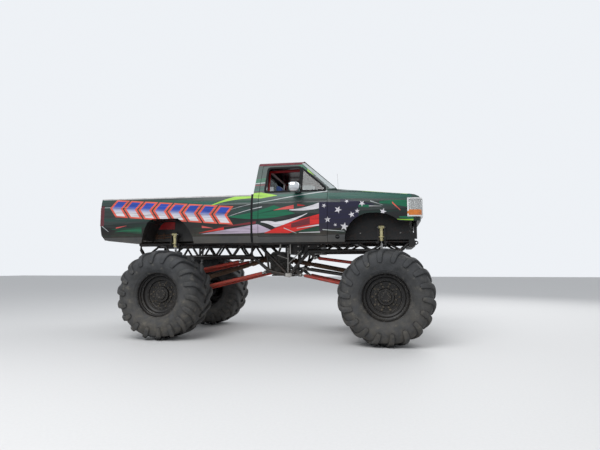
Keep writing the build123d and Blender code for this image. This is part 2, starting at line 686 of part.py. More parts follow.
with BuildPart() as bed_floor:
    with BuildSketch(Plane.XY.offset(FLOOR_BOTTOM)):
        with Locations(((BED_FLOOR_REAR + BED_FRONT) / 2, 0)):
            Rectangle(BED_FRONT - BED_FLOOR_REAR, 2 * BED_INNER)
    extrude(amount=FLOOR_TOP - FLOOR_BOTTOM)
    for side in (1, -1):
        add(tub_solid(side, TUB_CLEARANCE), mode=Mode.SUBTRACT)

with BuildPart() as wheel_tubs:
    for side in (1, -1):
        add(tub_solid(side, TUB_CLEARANCE))
    for side in (1, -1):
        add(tub_solid(side, TUB_CLEARANCE - TUB_WALL, TUB_WALL), mode=Mode.SUBTRACT)
    with BuildSketch(Plane.XY.offset(FLOOR_BOTTOM)):
        with Locations((REAR_ARCH[0][0], 0)):
            Rectangle(3000, 2 * BODY_HALF)
    extrude(amount=-500, mode=Mode.SUBTRACT)

BED_WALL = 40
with BuildPart() as bed_front:
    with BuildSketch(Plane.XY.offset(FLOOR_TOP)):
        with Locations((BED_FRONT - 10 - BED_WALL / 2, 0)):
            Rectangle(BED_WALL, 2 * BED_INNER)
    extrude(amount=BELT_Z - 20 - FLOOR_TOP)

TAILGATE_BOTTOM = TAILGATE_PIVOT[1] - 13
TAILGATE_TOP = BELT_Z - 10
TAILGATE_PIN_RADIUS = 10
TAILGATE_PIN = (TAILGATE_HALF - 20, BED_INNER + 22)
TAILGATE_FRONT = BED_REAR + TAILGATE_THICKNESS
with BuildPart() as tailgate:
    extrude(side_region([(TAILGATE_FRONT, TAILGATE_BOTTOM), (BED_REAR + 34, TAILGATE_BOTTOM),
                         (BED_REAR + 8, TAILGATE_BOTTOM + 60), (BED_REAR, TAILGATE_TOP - 15),
                         (BED_REAR + 15, TAILGATE_TOP), (TAILGATE_FRONT, TAILGATE_TOP)]),
            amount=TAILGATE_HALF, both=True)
    with BuildSketch(Plane.XZ.offset(TAILGATE_PIN[0])):
        with Locations(TAILGATE_PIVOT):
            Circle(TAILGATE_PIN_RADIUS)
    extrude(amount=TAILGATE_PIN[1] - TAILGATE_PIN[0])
    mirror(about=Plane.XZ)

TAIL_LAMP_DEPTH = 70
TAIL_LAMP_Z = (1850, 2200)
TAIL_LAMP_INNER = 905


def bed_wall_section():
    """The right bed wall's cross-section, from the skin to the inner wall."""
    with BuildSketch(Plane.YZ.offset(BED_REAR)) as section:
        with BuildLine():
            top = side_wall_curve()
            Polyline(top, (-BED_INNER, BELT_Z), (-BED_INNER, FLOOR_BOTTOM), (-920, FLOOR_BOTTOM),
                     (-925, BODY_BOTTOM), (-945, BODY_BOTTOM))
        make_face()
    return section.sketch


def tail_lamp_box():
    """The corner of the right bed wall that the lamp fills."""
    with BuildPart() as corner:
        with BuildSketch(Plane.XY.offset(TAIL_LAMP_Z[0])):
            with Locations((BED_REAR + TAIL_LAMP_DEPTH / 2, -TAIL_LAMP_INNER - 60)):
                Rectangle(TAIL_LAMP_DEPTH, 120)
        extrude(amount=TAIL_LAMP_Z[1] - TAIL_LAMP_Z[0])
    return corner.part


# What the side loses below its rising rear edge, and behind its sloping rear corner
REAR_TUCK = [(BED_REAR - 40, 1480), (-1990, 1480), (-2005, 1552), (BED_REAR + 80, 1604), (BED_REAR + 22, 1690),
             (BED_REAR + 8, 1850), (BED_REAR - 40, 1850)]
with BuildPart() as bed_sides:
    extrude(bed_wall_section(), amount=BED_FRONT - BED_REAR, dir=(1, 0, 0))
    extrude(side_region(REAR_ARCH), amount=BODY_HALF + 50, dir=(0, -1, 0), mode=Mode.SUBTRACT)
    extrude(side_region(REAR_TUCK), amount=BODY_HALF + 50, dir=(0, -1, 0), mode=Mode.SUBTRACT)
    with BuildSketch(Plane.XZ.offset(BED_INNER - 1)):
        with Locations(TAILGATE_PIVOT):
            Circle(TAILGATE_PIN_RADIUS + 1)
    extrude(amount=28, mode=Mode.SUBTRACT)
    add(tail_lamp_box(), mode=Mode.SUBTRACT)
    mirror(about=Plane.XZ)

with BuildPart() as tail_lamps:
    extrude(bed_wall_section(), amount=BED_FRONT - BED_REAR, dir=(1, 0, 0))
    add(tail_lamp_box(), mode=Mode.INTERSECT)
    mirror(about=Plane.XZ)


# Cab: a ring section cut into its panels
def cab_ring():
    """The cab's cross-section: outer skin, and the cabin as a hole through it."""
    with BuildSketch(Plane.YZ.offset(CAB_BACK)) as ring:
        with BuildLine():
            side_wall_curve()
            belt = Line((-958, BELT_Z), (-948, BELT_Z + 22))
            glass_line = Line(belt @ 1, (-775, DOOR_TOP))
            cant = ThreePointArc(glass_line @ 1, (-750, 2866), (-690, 2890))
            roof_line = ThreePointArc(cant @ 1, (-360, 2921), (0, 2930))
            Polyline(roof_line @ 1, (0, BODY_BOTTOM), (-945, BODY_BOTTOM))
        make_face()
        with BuildLine():
            Polyline((0, FLOOR_TOP), (-(BODY_HALF - DOOR_THICKNESS), FLOOR_TOP),
                     (-(BODY_HALF - DOOR_THICKNESS), BELT_Z), (-(948 - PILLAR_THICKNESS), BELT_Z + 22),
                     (-(775 - PILLAR_THICKNESS), DOOR_TOP), (-690, 2850), (0, 2930 - ROOF_THICKNESS),
                     close=True)
        make_face(mode=Mode.SUBTRACT)
        mirror(about=Plane.YZ)
    return ring.sketch


CAB_LENGTH = CAB_FRONT - CAB_BACK
DOOR_OUTLINE = [(0, DOOR_BOTTOM), (DOOR_FRONT, DOOR_BOTTOM), (DOOR_FRONT, 2426), (730, DOOR_TOP), (0, DOOR_TOP)]
DROP_OPENING = [(150, 2360), (722, 2360), (722, 2786), (172, 2786)]
QUARTER_OPENING = [(752, 2360), (1134, 2360), (1134, 2410), (752, 2757)]
DOOR_SWEEP = DOOR_HINGE[0] - DOOR_REAR

with BuildPart() as door_right:
    extrude(cab_ring(), amount=CAB_LENGTH, dir=(1, 0, 0))
    extrude(side_region(DOOR_OUTLINE), amount=BODY_HALF + 50, dir=(0, -1, 0), mode=Mode.INTERSECT)
    with BuildSketch(Plane.XY.offset(DOOR_BOTTOM)):
        with Locations(DOOR_HINGE):
            Circle(DOOR_SWEEP)
    extrude(amount=DOOR_TOP - DOOR_BOTTOM, mode=Mode.INTERSECT)
    for opening in (DROP_OPENING, QUARTER_OPENING):
        extrude(side_region(opening), amount=BODY_HALF + 50, dir=(0, -1, 0), mode=Mode.SUBTRACT)
with BuildPart() as door_left:
    mirror(door_right.part, about=Plane.XZ)

with BuildPart() as quarter_glass_right:
    extrude(cab_ring(), amount=CAB_LENGTH, dir=(1, 0, 0))
    extrude(side_region(QUARTER_OPENING), amount=BODY_HALF + 50, dir=(0, -1, 0), mode=Mode.INTERSECT)
with BuildPart() as quarter_glass_left:
    mirror(quarter_glass_right.part, about=Plane.XZ)

BACK_OUTLINE = [(CAB_BACK, DOOR_BOTTOM - SHUT_GAP), (100, DOOR_BOTTOM - SHUT_GAP), (100, DOOR_TOP + SHUT_GAP),
                (-2, DOOR_TOP + SHUT_GAP), (CAB_BACK, BELT_Z)]
with BuildPart() as cab_back:
    extrude(cab_ring(), amount=CAB_LENGTH, dir=(1, 0, 0))
    extrude(side_region(BACK_OUTLINE), amount=BODY_HALF + 50, both=True, mode=Mode.INTERSECT)
    with BuildSketch(Plane.XY.offset(FLOOR_BOTTOM)):
        with Locations(DOOR_HINGE, (DOOR_HINGE[0], -DOOR_HINGE[1])):
            Circle(DOOR_SWEEP + SHUT_GAP)
    extrude(amount=1500, mode=Mode.SUBTRACT)
    with BuildSketch(Plane.YZ):
        with BuildLine():
            Polyline((-(BODY_HALF - DOOR_THICKNESS), DOOR_BOTTOM - SHUT_GAP),
                     (-(BODY_HALF - DOOR_THICKNESS), BELT_Z), (-(948 - PILLAR_THICKNESS), BELT_Z + 22),
                     (-(775 - PILLAR_THICKNESS), DOOR_TOP), (-690, 2850), (0, 2930 - ROOF_THICKNESS),
                     (690, 2850), ((775 - PILLAR_THICKNESS), DOOR_TOP),
                     ((948 - PILLAR_THICKNESS), BELT_Z + 22), ((BODY_HALF - DOOR_THICKNESS), BELT_Z),
                     ((BODY_HALF - DOOR_THICKNESS), DOOR_BOTTOM - SHUT_GAP), close=True)
        make_face()
        with Locations((0, 2580)):
            Rectangle(1120, 360, mode=Mode.SUBTRACT)
    extrude(amount=30)

CAB_FLOOR_TOP = DOOR_BOTTOM - SHUT_GAP
with BuildPart() as cab_floor:
    extrude(cab_ring(), amount=CAB_LENGTH, dir=(1, 0, 0))
    with BuildSketch(Plane.XY.offset(BODY_BOTTOM)):
        with Locations(((CAB_BACK + DOOR_FRONT) / 2, 0)):
            Rectangle(DOOR_FRONT - CAB_BACK, 2 * BODY_HALF + 20)
        with Locations(((DOOR_FRONT + 1270) / 2, 0)):
            Rectangle(1270 - DOOR_FRONT, 1780)
    extrude(amount=CAB_FLOOR_TOP - BODY_BOTTOM, mode=Mode.INTERSECT)
    with BuildSketch(Plane.XY.offset(BODY_BOTTOM)):
        with Locations(((CAB_BACK + CAB_FRONT) / 2, 0)):
            Rectangle(CAB_LENGTH + 10, 1800)
    extrude(amount=FLOOR_BOTTOM - BODY_BOTTOM, mode=Mode.SUBTRACT)

SCREEN_SLOPE = (SCREEN_HEAD[0] - SCREEN_FOOT[0]) / (SCREEN_HEAD[1] - SCREEN_FOOT[1])
ROOF_SPLIT = DOOR_TOP + SHUT_GAP


def screen_x(z):
    """Where the windscreen plane is at a height."""
    return SCREEN_FOOT[0] + SCREEN_SLOPE * (z - SCREEN_FOOT[1])


ROOF_OUTLINE = [(-2, ROOF_SPLIT), (8, 2885), (45, 2940), (700, 2940), SCREEN_HEAD,
                (screen_x(ROOF_SPLIT), ROOF_SPLIT)]
with BuildPart() as roof:
    extrude(cab_ring(), amount=CAB_LENGTH, dir=(1, 0, 0))
    extrude(side_region(ROOF_OUTLINE), amount=BODY_HALF, both=True, mode=Mode.INTERSECT)

COWL_TOP = 2376
COWL_FRONT = HOOD_REAR - SHUT_GAP
PILLAR_OUTLINE = [(DOOR_FRONT + SHUT_GAP, COWL_TOP), (screen_x(COWL_TOP), COWL_TOP),
                  (screen_x(ROOF_SPLIT), ROOF_SPLIT), (732, ROOF_SPLIT), (DOOR_FRONT + SHUT_GAP, 2429)]
with BuildPart() as cowl:
    extrude(cab_ring(), amount=CAB_LENGTH + 40, dir=(1, 0, 0))
    extrude(side_region(PILLAR_OUTLINE), amount=BODY_HALF, both=True, mode=Mode.INTERSECT)
    with BuildSketch(Plane.XY.offset(COWL_TOP)):
        with Locations(((FIREWALL_X + COWL_FRONT) / 2, 0)):
            Rectangle(COWL_FRONT - FIREWALL_X, 2 * HOOD_EDGE)
        with Locations(((DOOR_FRONT + SHUT_GAP + FIREWALL_X) / 2, 0)):
            Rectangle(FIREWALL_X - DOOR_FRONT - SHUT_GAP, 2 * HOOD_EDGE)
    extrude(amount=-30)
    with BuildSketch(Plane.XY.offset(CAB_FLOOR_TOP)):
        with Locations((FIREWALL_X + FIREWALL_THICKNESS / 2, 0)):
            Rectangle(FIREWALL_THICKNESS, 1780)
    extrude(amount=COWL_TOP - 30 - CAB_FLOOR_TOP)
    with BuildSketch(Plane.XY.offset(1880)):
        with Locations((FIREWALL_X + FIREWALL_THICKNESS / 2, 0)):
            Rectangle(FIREWALL_THICKNESS, 2 * (BODY_HALF - FENDER_SKIN))
    extrude(amount=160)

SCREEN_UP = Vector(SCREEN_HEAD[0] - SCREEN_FOOT[0], 0, SCREEN_HEAD[1] - SCREEN_FOOT[1])
SCREEN_PLANE = Plane(origin=(SCREEN_FOOT[0], 0, SCREEN_FOOT[1]), x_dir=(0, 1, 0),
                     z_dir=(SCREEN_UP.Z, 0, -SCREEN_UP.X))
with BuildPart() as cab_glass:
    with BuildSketch(SCREEN_PLANE):
        with BuildLine():
            Polyline((-915, 6), (915, 6), (755, 662), (-755, 662), close=True)
        make_face()
    extrude(amount=8)
    with BuildSketch(Plane.YZ.offset(30)):
        with Locations((0, 2580)):
            Rectangle(1160, 390)
    extrude(amount=6)

DASH_FRONT = 1000
with BuildPart() as dashboard:
    with BuildSketch(Plane.XZ.offset(-760)):
        with BuildLine():
            Polyline((DASH_FRONT, 2200), (DASH_FRONT + 30, 2320), (FIREWALL_X, 2340), (FIREWALL_X, 2120),
                     (DASH_FRONT + 60, 2120), close=True)
        make_face()
    extrude(amount=1520)

STEERING_WHEEL = (850, 380, 2270)
with BuildPart() as steering_wheel:
    plane, length = bar(STEERING_WHEEL, (1120, 380, 2160))
    with BuildSketch(plane):
        RegularPolygon(178, 16)
        RegularPolygon(150, 16, mode=Mode.SUBTRACT)
        Rectangle(310, 40)
        RegularPolygon(45, TUBE_SIDES)
    extrude(amount=24)
    with BuildSketch(plane):
        RegularPolygon(22, TUBE_SIDES)
    extrude(amount=length)
    add(dashboard.part, mode=Mode.SUBTRACT)
    with BuildSketch(Plane.XY.offset(1900)):
        with Locations((DASH_FRONT + 160, 380)):
            Rectangle(200, 200)
    extrude(amount=600, mode=Mode.SUBTRACT)

SEAT_Y = 390
SEAT_HALF = 255
with BuildPart() as seats:
    for side in (1, -1):
        with BuildSketch(Plane.XZ.offset(side * SEAT_Y)):
            with BuildLine():
                Polyline((330, CAB_FLOOR_TOP), (760, CAB_FLOOR_TOP), (820, 1900), (800, 1950), (460, 1930),
                         (330, 2560), (240, 2560), (300, 1900), close=True)
            make_face()
        extrude(amount=SEAT_HALF, both=True)

CAGE_RADIUS = 22
CAGE_HOOP = [(150, -720, CAB_FLOOR_TOP), (150, -720, 2360), (150, -625, 2735), (150, -560, 2765)]
CAGE_RAIL = [(150, -590, 2762), (660, -600, 2768), (745, -625, 2730), (1100, -790, 2375), (1125, -800, 2330),
             (1125, -800, CAB_FLOOR_TOP)]
with BuildPart() as roll_cage:
    for path in (CAGE_HOOP + [(150, 0, 2765)], CAGE_RAIL):
        for start, end in zip(path, path[1:]):
            add(tube(start, end, CAGE_RADIUS, RAIL_SIDES))
    mirror(about=Plane.XZ)

# Front sheet metal
FENDER_TOP_REAR = 2376
FENDER_TOP_FRONT = 2272


def fender_skin(top):
    """The right fender's outer line, from its lower edge to its top edge."""
    return [(-945, BODY_BOTTOM), (-976, 1625), (-993, 1740), (-BODY_HALF, 1880), (-BODY_HALF, CREASE_Z - 8),
            (-990, CREASE_Z + 8), (-980, (CREASE_Z + top - 20) / 2), (-966, top - 30), (-948, top - 9),
            (-918, top), (-FENDER_TOP_INNER, top)]


def fender_section(x, top):
    """The right fender's skin at a place along it, up to its own top edge."""
    inner = [(-FENDER_TOP_INNER, top - 25), (-935, top - 45), (-960, CREASE_Z - 10), (-970, CREASE_Z - 30),
             (-970, 1880), (-955, 1690), (-925, BODY_BOTTOM)]
    with BuildSketch(Plane.YZ.offset(x)) as section:
        with BuildLine():
            Polyline(*fender_skin(top), *inner, close=True)
        make_face()
    return section.sketch


with BuildPart() as front_fenders:
    loft([fender_section(DOOR_FRONT + SHUT_GAP, FENDER_TOP_REAR), fender_section(FENDER_FRONT, FENDER_TOP_FRONT)],
         ruled=True)
    with BuildSketch(Plane.XZ.offset(900)):
        with BuildLine():
            ThreePointArc(FRONT_ARCH_FOOT, FRONT_ARCH_SHOULDER, FRONT_ARCH_TOP)
            ThreePointArc(FRONT_ARCH_TOP, FRONT_ARCH_BROW, (FENDER_STEP_X, FENDER_STEP_Z))
            Polyline((FENDER_STEP_X, FENDER_STEP_Z), (FENDER_FRONT + 50, FENDER_STEP_Z),
                     (FENDER_FRONT + 50, FRONT_ARCH_FOOT[1]), FRONT_ARCH_FOOT)
        make_face()
    extrude(amount=200, mode=Mode.SUBTRACT)
    mirror(about=Plane.XZ)

HOOD_SECTIONS = [
    # x, edge height, crown above the edge
    (HOOD_REAR, 2376, 24),
    (2300, 2280, 24),
    (2496, 2247, 10),
]
HOOD_PIVOT = (HOOD_REAR, 2382)
HOOD_PIN_RADIUS = 5
HOOD_PIN_Y = 320
HOOD_PIN_HALF = 45
with BuildPart() as hood:
    for x, edge, crown in HOOD_SECTIONS:
        with BuildSketch(Plane.YZ.offset(x)):
            with BuildLine():
                ThreePointArc((-HOOD_EDGE, edge), (0, edge + crown), (HOOD_EDGE, edge))
                Line((HOOD_EDGE, edge), (HOOD_EDGE, edge - HOOD_THICKNESS))
                ThreePointArc((HOOD_EDGE, edge - HOOD_THICKNESS), (0, edge + crown - HOOD_THICKNESS),
                              (-HOOD_EDGE, edge - HOOD_THICKNESS))
                Line((-HOOD_EDGE, edge - HOOD_THICKNESS), (-HOOD_EDGE, edge))
            make_face()
    loft(ruled=True)
    for side in (1, -1):
        with BuildSketch(Plane.XZ.offset(side * HOOD_PIN_Y)):
            with Locations(HOOD_PIVOT):
                Circle(HOOD_PIN_RADIUS)
        extrude(amount=HOOD_PIN_HALF, both=True)

NOSE_OUTLINE = [(FENDER_FRONT, 2272), (2506, 2248), (2570, 2215), (NOSE_X, 2185), (NOSE_X + 10, FENDER_STEP_Z),
                (FENDER_FRONT, FENDER_STEP_Z)]
LAMP_Z = (1905, 2195)
LAMP_INNER = 590
GRILLE_Z = (1925, 2175)
with BuildPart() as header_panel:
    with BuildSketch(Plane.XY.offset(FENDER_STEP_Z)):
        with BuildLine():
            Polyline((FENDER_FRONT, 0), (FENDER_FRONT, -BODY_HALF), (2500, -BODY_HALF))
            corner = ThreePointArc((2500, -BODY_HALF), (2568, -968), (NOSE_X - 5, -890))
            Polyline(corner @ 1, (NOSE_X + 8, 0), (FENDER_FRONT, 0))
        make_face()
        mirror(about=Plane.XZ)
    extrude(amount=500)
    extrude(side_region(NOSE_OUTLINE), amount=BODY_HALF + 20, both=True, mode=Mode.INTERSECT)
    with BuildSketch(Plane.YZ.offset(FENDER_FRONT)):
        with BuildLine():
            Polyline(*fender_skin(FENDER_TOP_FRONT), (0, FENDER_TOP_FRONT + 30), (0, BODY_BOTTOM), close=True)
        make_face()
        mirror(about=Plane.YZ)
    extrude(amount=400, mode=Mode.INTERSECT)
    with BuildSketch(Plane.XY.offset(FENDER_STEP_Z)):
        with Locations(((FENDER_FRONT + 2540) / 2, 0)):
            Rectangle(2540 - FENDER_FRONT, 2 * (BODY_HALF - 60))
    extrude(amount=2185 - FENDER_STEP_Z, mode=Mode.SUBTRACT)
    with BuildSketch(Plane.XY.offset(2100)):
        with Locations(((FENDER_FRONT + 2506) / 2, 0)):
            Rectangle(2506 - FENDER_FRONT, 2 * FENDER_TOP_INNER)
    extrude(amount=300, mode=Mode.SUBTRACT)
    for side in (1, -1):
        with BuildSketch(Plane.XY.offset(LAMP_Z[0])):
            with Locations((2600, side * (LAMP_INNER + 300))):
                Rectangle(2 * (2600 - FENDER_FRONT) - 10, 600)
        extrude(amount=LAMP_Z[1] - LAMP_Z[0], mode=Mode.SUBTRACT)
    with BuildSketch(Plane.YZ.offset(FENDER_FRONT)):
        with Locations((0, (GRILLE_Z[0] + GRILLE_Z[1]) / 2)):
            Rectangle(2 * GRILLE_HALF, GRILLE_Z[1] - GRILLE_Z[0])
    extrude(amount=400, mode=Mode.SUBTRACT)

with BuildPart() as headlamps:
    with BuildSketch(Plane.XY.offset(LAMP_Z[0])):
        with BuildLine():
            Polyline((FENDER_FRONT + 6, -945), (FENDER_FRONT + 6, -1003), (2500, -1003))
            corner = ThreePointArc((2500, -1003), (2594, -976), (2626, -890))
            Polyline(corner @ 1, (2630, -LAMP_INNER), (2560, -LAMP_INNER), (2556, -880), (2500, -945),
                     (FENDER_FRONT + 6, -945))
        make_face()
    extrude(amount=LAMP_Z[1] - LAMP_Z[0])
    mirror(about=Plane.XZ)

GRILLE_BAR = 14
with BuildPart() as grille:
    with BuildSketch(Plane.YZ.offset(NOSE_X - 35)):
        with Locations((0, (GRILLE_Z[0] + GRILLE_Z[1]) / 2)):
            Rectangle(2 * GRILLE_HALF, GRILLE_Z[1] - GRILLE_Z[0])
            Rectangle(2 * GRILLE_HALF - 40, GRILLE_Z[1] - GRILLE_Z[0] - 40, mode=Mode.SUBTRACT)
            with GridLocations(0, 52, 1, 3):
                Rectangle(2 * GRILLE_HALF - 30, GRILLE_BAR)
            with GridLocations(280, 0, 3, 1):
                Rectangle(GRILLE_BAR, GRILLE_Z[1] - GRILLE_Z[0] - 30)
    extrude(amount=30)

with BuildPart() as radiator:
    with BuildSketch(Plane.XY.offset(FRONT_BOX_TOP)):
        with Locations((FRONT_END_X + 27, 0)):
            Rectangle(35, 2 * (FRONT_BOX_HALF - APRON_THICKNESS))
    extrude(amount=450)

with BuildPart() as mirror_right:
    with BuildSketch(Plane.XY.offset(2310)):
        with Locations((690, -1135)):
            Rectangle(170, 210)
    extrude(amount=160)
    chamfer(mirror_right.edges().filter_by(Axis.Z), 32)
    chamfer(mirror_right.faces().sort_by(Axis.Z)[-1].edges(), 20)
    with BuildSketch(Plane.XZ.offset(900)):
        with Locations((690, 2345)):
            Rectangle(80, 30)
    extrude(amount=170)
    add(door_right.part, mode=Mode.SUBTRACT)
    with BuildSketch(Plane.XY.offset(2200)):
        with Locations((690, -800)):
            Rectangle(300, 260)
    extrude(amount=300, mode=Mode.SUBTRACT)
with BuildPart() as mirror_left:
    mirror(mirror_right.part, about=Plane.XZ)

NODES = {
    "front_axle": front_axle,
    "rear_axle": rear_axle,
    "knuckle_right": knuckle_right,
    "knuckle_left": knuckle_left,
    "tie_rod": tie_rod,
    "frame_trusses": frame_trusses,
    "frame_crossmembers": frame_crossmembers,
    "engine": engine,
    "transfer_case": transfer_case,
    "driveshafts": driveshafts,
    "link_bars": link_bars,
    "shock_bodies": shock_bodies,
    "shock_shafts": shock_shafts,
    "bed_sides": bed_sides,
    "bed_floor": bed_floor,
    "wheel_tubs": wheel_tubs,
    "bed_front": bed_front,
    "tailgate": tailgate,
    "door_right": door_right,
    "door_left": door_left,
    "quarter_glass_right": quarter_glass_right,
    "quarter_glass_left": quarter_glass_left,
    "cab_back": cab_back,
    "cab_floor": cab_floor,
    "roof": roof,
    "cowl": cowl,
    "cab_glass": cab_glass,
    "dashboard": dashboard,
    "steering_wheel": steering_wheel,
    "seats": seats,
    "roll_cage": roll_cage,
    "front_fenders": front_fenders,
    "hood": hood,
    "header_panel": header_panel,
    "headlamps": headlamps,
    "grille": grille,
    "radiator": radiator,
    "mirror_right": mirror_right,
    "mirror_left": mirror_left,
    "tail_lamps": tail_lamps,
}
NODES.update(corner_parts)

for name, piece in NODES.items():
    piece.part.label = name
    export_step(piece.part, f"parts/{name}.step")
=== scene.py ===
import json
from math import cos, pi, radians, sin, sqrt

import bpy
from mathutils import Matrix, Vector


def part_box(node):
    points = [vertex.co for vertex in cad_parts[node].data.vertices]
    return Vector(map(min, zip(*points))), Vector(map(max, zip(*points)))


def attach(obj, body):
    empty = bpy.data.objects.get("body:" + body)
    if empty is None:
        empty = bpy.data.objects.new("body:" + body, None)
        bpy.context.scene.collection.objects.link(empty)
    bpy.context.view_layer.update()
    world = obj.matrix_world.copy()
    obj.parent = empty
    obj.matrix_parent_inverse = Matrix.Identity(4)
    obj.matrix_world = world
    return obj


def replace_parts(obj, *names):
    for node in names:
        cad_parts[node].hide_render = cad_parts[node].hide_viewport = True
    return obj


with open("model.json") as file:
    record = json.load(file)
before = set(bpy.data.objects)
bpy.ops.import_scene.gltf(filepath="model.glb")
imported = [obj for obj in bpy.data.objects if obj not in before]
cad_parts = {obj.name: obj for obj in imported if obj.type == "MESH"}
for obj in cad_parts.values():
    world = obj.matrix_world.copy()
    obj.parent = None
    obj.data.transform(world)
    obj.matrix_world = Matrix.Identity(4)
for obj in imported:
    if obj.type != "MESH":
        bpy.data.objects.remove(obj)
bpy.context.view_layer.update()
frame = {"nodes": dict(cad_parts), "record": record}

# Sizes in metres. +X is forward, +Y the truck's left, +Z up.
SIDES = {"right": -1, "left": 1}
AXLES_X, AXLE_Z = (2.050, -1.500), 0.710
KINGPIN_Y, TIE_ROD_X = 0.760, 2.290
CORNERS = {
    "front_left": (1, "front_left_wheel"),
    "front_right": (-1, "front_right_wheel"),
    "rear_left": (1, "rear_left_wheel"),
    "rear_right": (-1, "rear_right_wheel"),
}
# The cab's side slopes in above the belt: half width and height at the belt and at the door's top
BELT_HALF, BELT_TOP = 0.948, 2.342
CANT_HALF, DOOR_TOP = 0.775, 2.828
DROP_WINDOW = [(0.150, 2.360), (0.722, 2.360), (0.722, 2.786), (0.172, 2.786)]
QUARTER_WINDOW = [(0.752, 2.360), (1.134, 2.360), (1.134, 2.410), (0.752, 2.757)]
SCREEN_FOOT = (1.310, 2.385)
SCREEN_HEAD = (0.765, 2.880)


# Mesh tools
def placed(name, data):
    """A new object that holds the data, linked into the scene."""
    thing = bpy.data.objects.new(name, data)
    bpy.context.collection.objects.link(thing)
    return thing


def turns(count, first=0.0):
    """Angles spread evenly round a full turn."""
    return [2 * pi * (i + first) / count for i in range(count)]


def both_ways(half):
    """A profile made whole with its own mirror image along the axis."""
    return half + [(-along, radius) for along, radius in reversed(half)]


def rectangle(low_a, low_b, high_a, high_b):
    """The corners of a flat rectangle."""
    return [(low_a, low_b), (high_a, low_b), (high_a, high_b), (low_a, high_b)]


class Shape:
    """Vertices and faces gathered for one piece, in the truck's frame."""

    def __init__(self):
        self.verts = []
        self.faces = []

    def skin(self, rows, closed=False, ring=False, caps=False):
        """A skin over rows of points: closed joins a row's ends, ring joins the last row to the first."""
        start, width = len(self.verts), len(rows[0])
        for row in rows:
            self.verts.extend(Vector(point) for point in row)
        columns = width if closed else width - 1
        for i in range(len(rows) if ring else len(rows) - 1):
            a = start + i * width
            b = start + (i + 1) % len(rows) * width
            for j in range(columns):
                k = (j + 1) % width
                self.faces.append((a + j, a + k, b + k, b + j))
        if caps:
            self.faces.append(tuple(start + j for j in reversed(range(width))))
            self.faces.append(tuple(start + (len(rows) - 1) * width + j for j in range(width)))

    def lathe(self, profile, centre, axis=(0, 1, 0), sides=72, caps=False):
        """A profile of (along, radius) turned about an axis through the centre."""
        frame_of_axis = Vector(axis).to_track_quat("Z", "Y")
        rows = []
        for along, radius in profile:
            rows.append([Vector(centre) + frame_of_axis @ Vector((radius * cos(a), radius * sin(a), along))
                         for a in turns(sides)])
        self.skin(rows, closed=True, caps=caps)

    def tube(self, points, radius, sides=12, closed=False):
        """A round tube along a path."""
        points = [Vector(p) for p in points]
        count = len(points)
        rows = []
        up = None
        for i, point in enumerate(points):
            before = points[i - 1] if i or closed else point
            after = points[(i + 1) % count] if i < count - 1 or closed else point
            along = (after - before).normalized()
            if up is None:
                up = along.orthogonal().normalized()
            up = (up - along * up.dot(along)).normalized()
            across = along.cross(up)
            into, out = (point - before).normalized(), (after - point).normalized()
            stretch = 1 / max(0.5, sqrt((1 + into.dot(out)) / 2)) if into.length and out.length else 1
            rows.append([point + (up * cos(a) + across * sin(a)) * radius * stretch for a in turns(sides)])
        self.skin(rows, closed=True, ring=closed, caps=not closed)

    def slab(self, outline, run, edge=0.003):
        """A plate: a flat outline of points pushed along a run, with its rims eased by edge."""
        points = [Vector(p) for p in outline]
        run = Vector(run)
        middle = sum(points, Vector()) / len(points)
        lift = run.normalized() * min(edge, run.length / 3)
        shrunk = [p + (middle - p).normalized() * edge for p in points]
        rows = [shrunk, [p + lift for p in points], [p + run - lift for p in points],
                [p + run for p in shrunk]]
        self.skin(rows, closed=True, caps=True)

    def block(self, low, high, edge=0.004):
        """A box with eased rims."""
        outline = [(low[0], low[1], low[2]), (high[0], low[1], low[2]), (high[0], high[1], low[2]),
                   (low[0], high[1], low[2])]
        self.slab(outline, (0, 0, high[2] - low[2]), edge)

    def hexes(self, places, axis, radius, height):
        """Bolt heads on washers."""
        for place in places:
            self.lathe([(0, radius * 1.35), (height * 0.25, radius * 1.3), (height * 0.26, radius)], place,
                       axis, 12)
            self.lathe([(height * 0.25, radius), (height * 0.9, radius), (height, radius * 0.85)], place,
                       axis, 6, caps=True)

    def join(self, other):
        """Another shape's vertices and faces added to this one."""
        count = len(self.verts)
        self.verts += other.verts
        self.faces += [tuple(count + i for i in face) for face in other.faces]

    def mirrored(self):
        """The same shape with its mirror image across the middle of the truck."""
        count = len(self.verts)
        self.verts += [Vector((v.x, -v.y, v.z)) for v in self.verts]
        self.faces += [tuple(count + i for i in reversed(face)) for face in self.faces]
        return self

    def mesh(self, name):
        """A mesh of the gathered vertices and faces."""
        made = bpy.data.meshes.new(name)
        made.from_pydata(self.verts, [], self.faces)
        return made

    def piece(self, name, slot, body="chassis", material=None, smooth=40):
        """The finished piece, in its slot's material unless another is given, smooth below an angle."""
        mesh = self.mesh(name)
        mesh.validate()
        mesh.shade_smooth()
        mesh.set_sharp_from_angle(angle=radians(smooth))
        mesh.update()
        thing = placed(name, mesh)
        mesh.materials.append(material or MATERIALS[slot])
        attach(thing, body)
        return thing


def rounded(corners, radius, steps=5):
    """A flat outline whose corners are rounded by the same number of points each."""
    points = []
    count = len(corners)
    for i, corner in enumerate(corners):
        here = Vector(corner)
        back = (Vector(corners[i - 1]) - here)
        ahead = (Vector(corners[(i + 1) % count]) - here)
        cut = min(radius, back.length * 0.45, ahead.length * 0.45)
        start, end = here + back.normalized() * cut, here + ahead.normalized() * cut
        for k in range(steps + 1):
            t = k / steps
            points.append(start * (1 - t) ** 2 + here * 2 * t * (1 - t) + end * t ** 2)
    return points


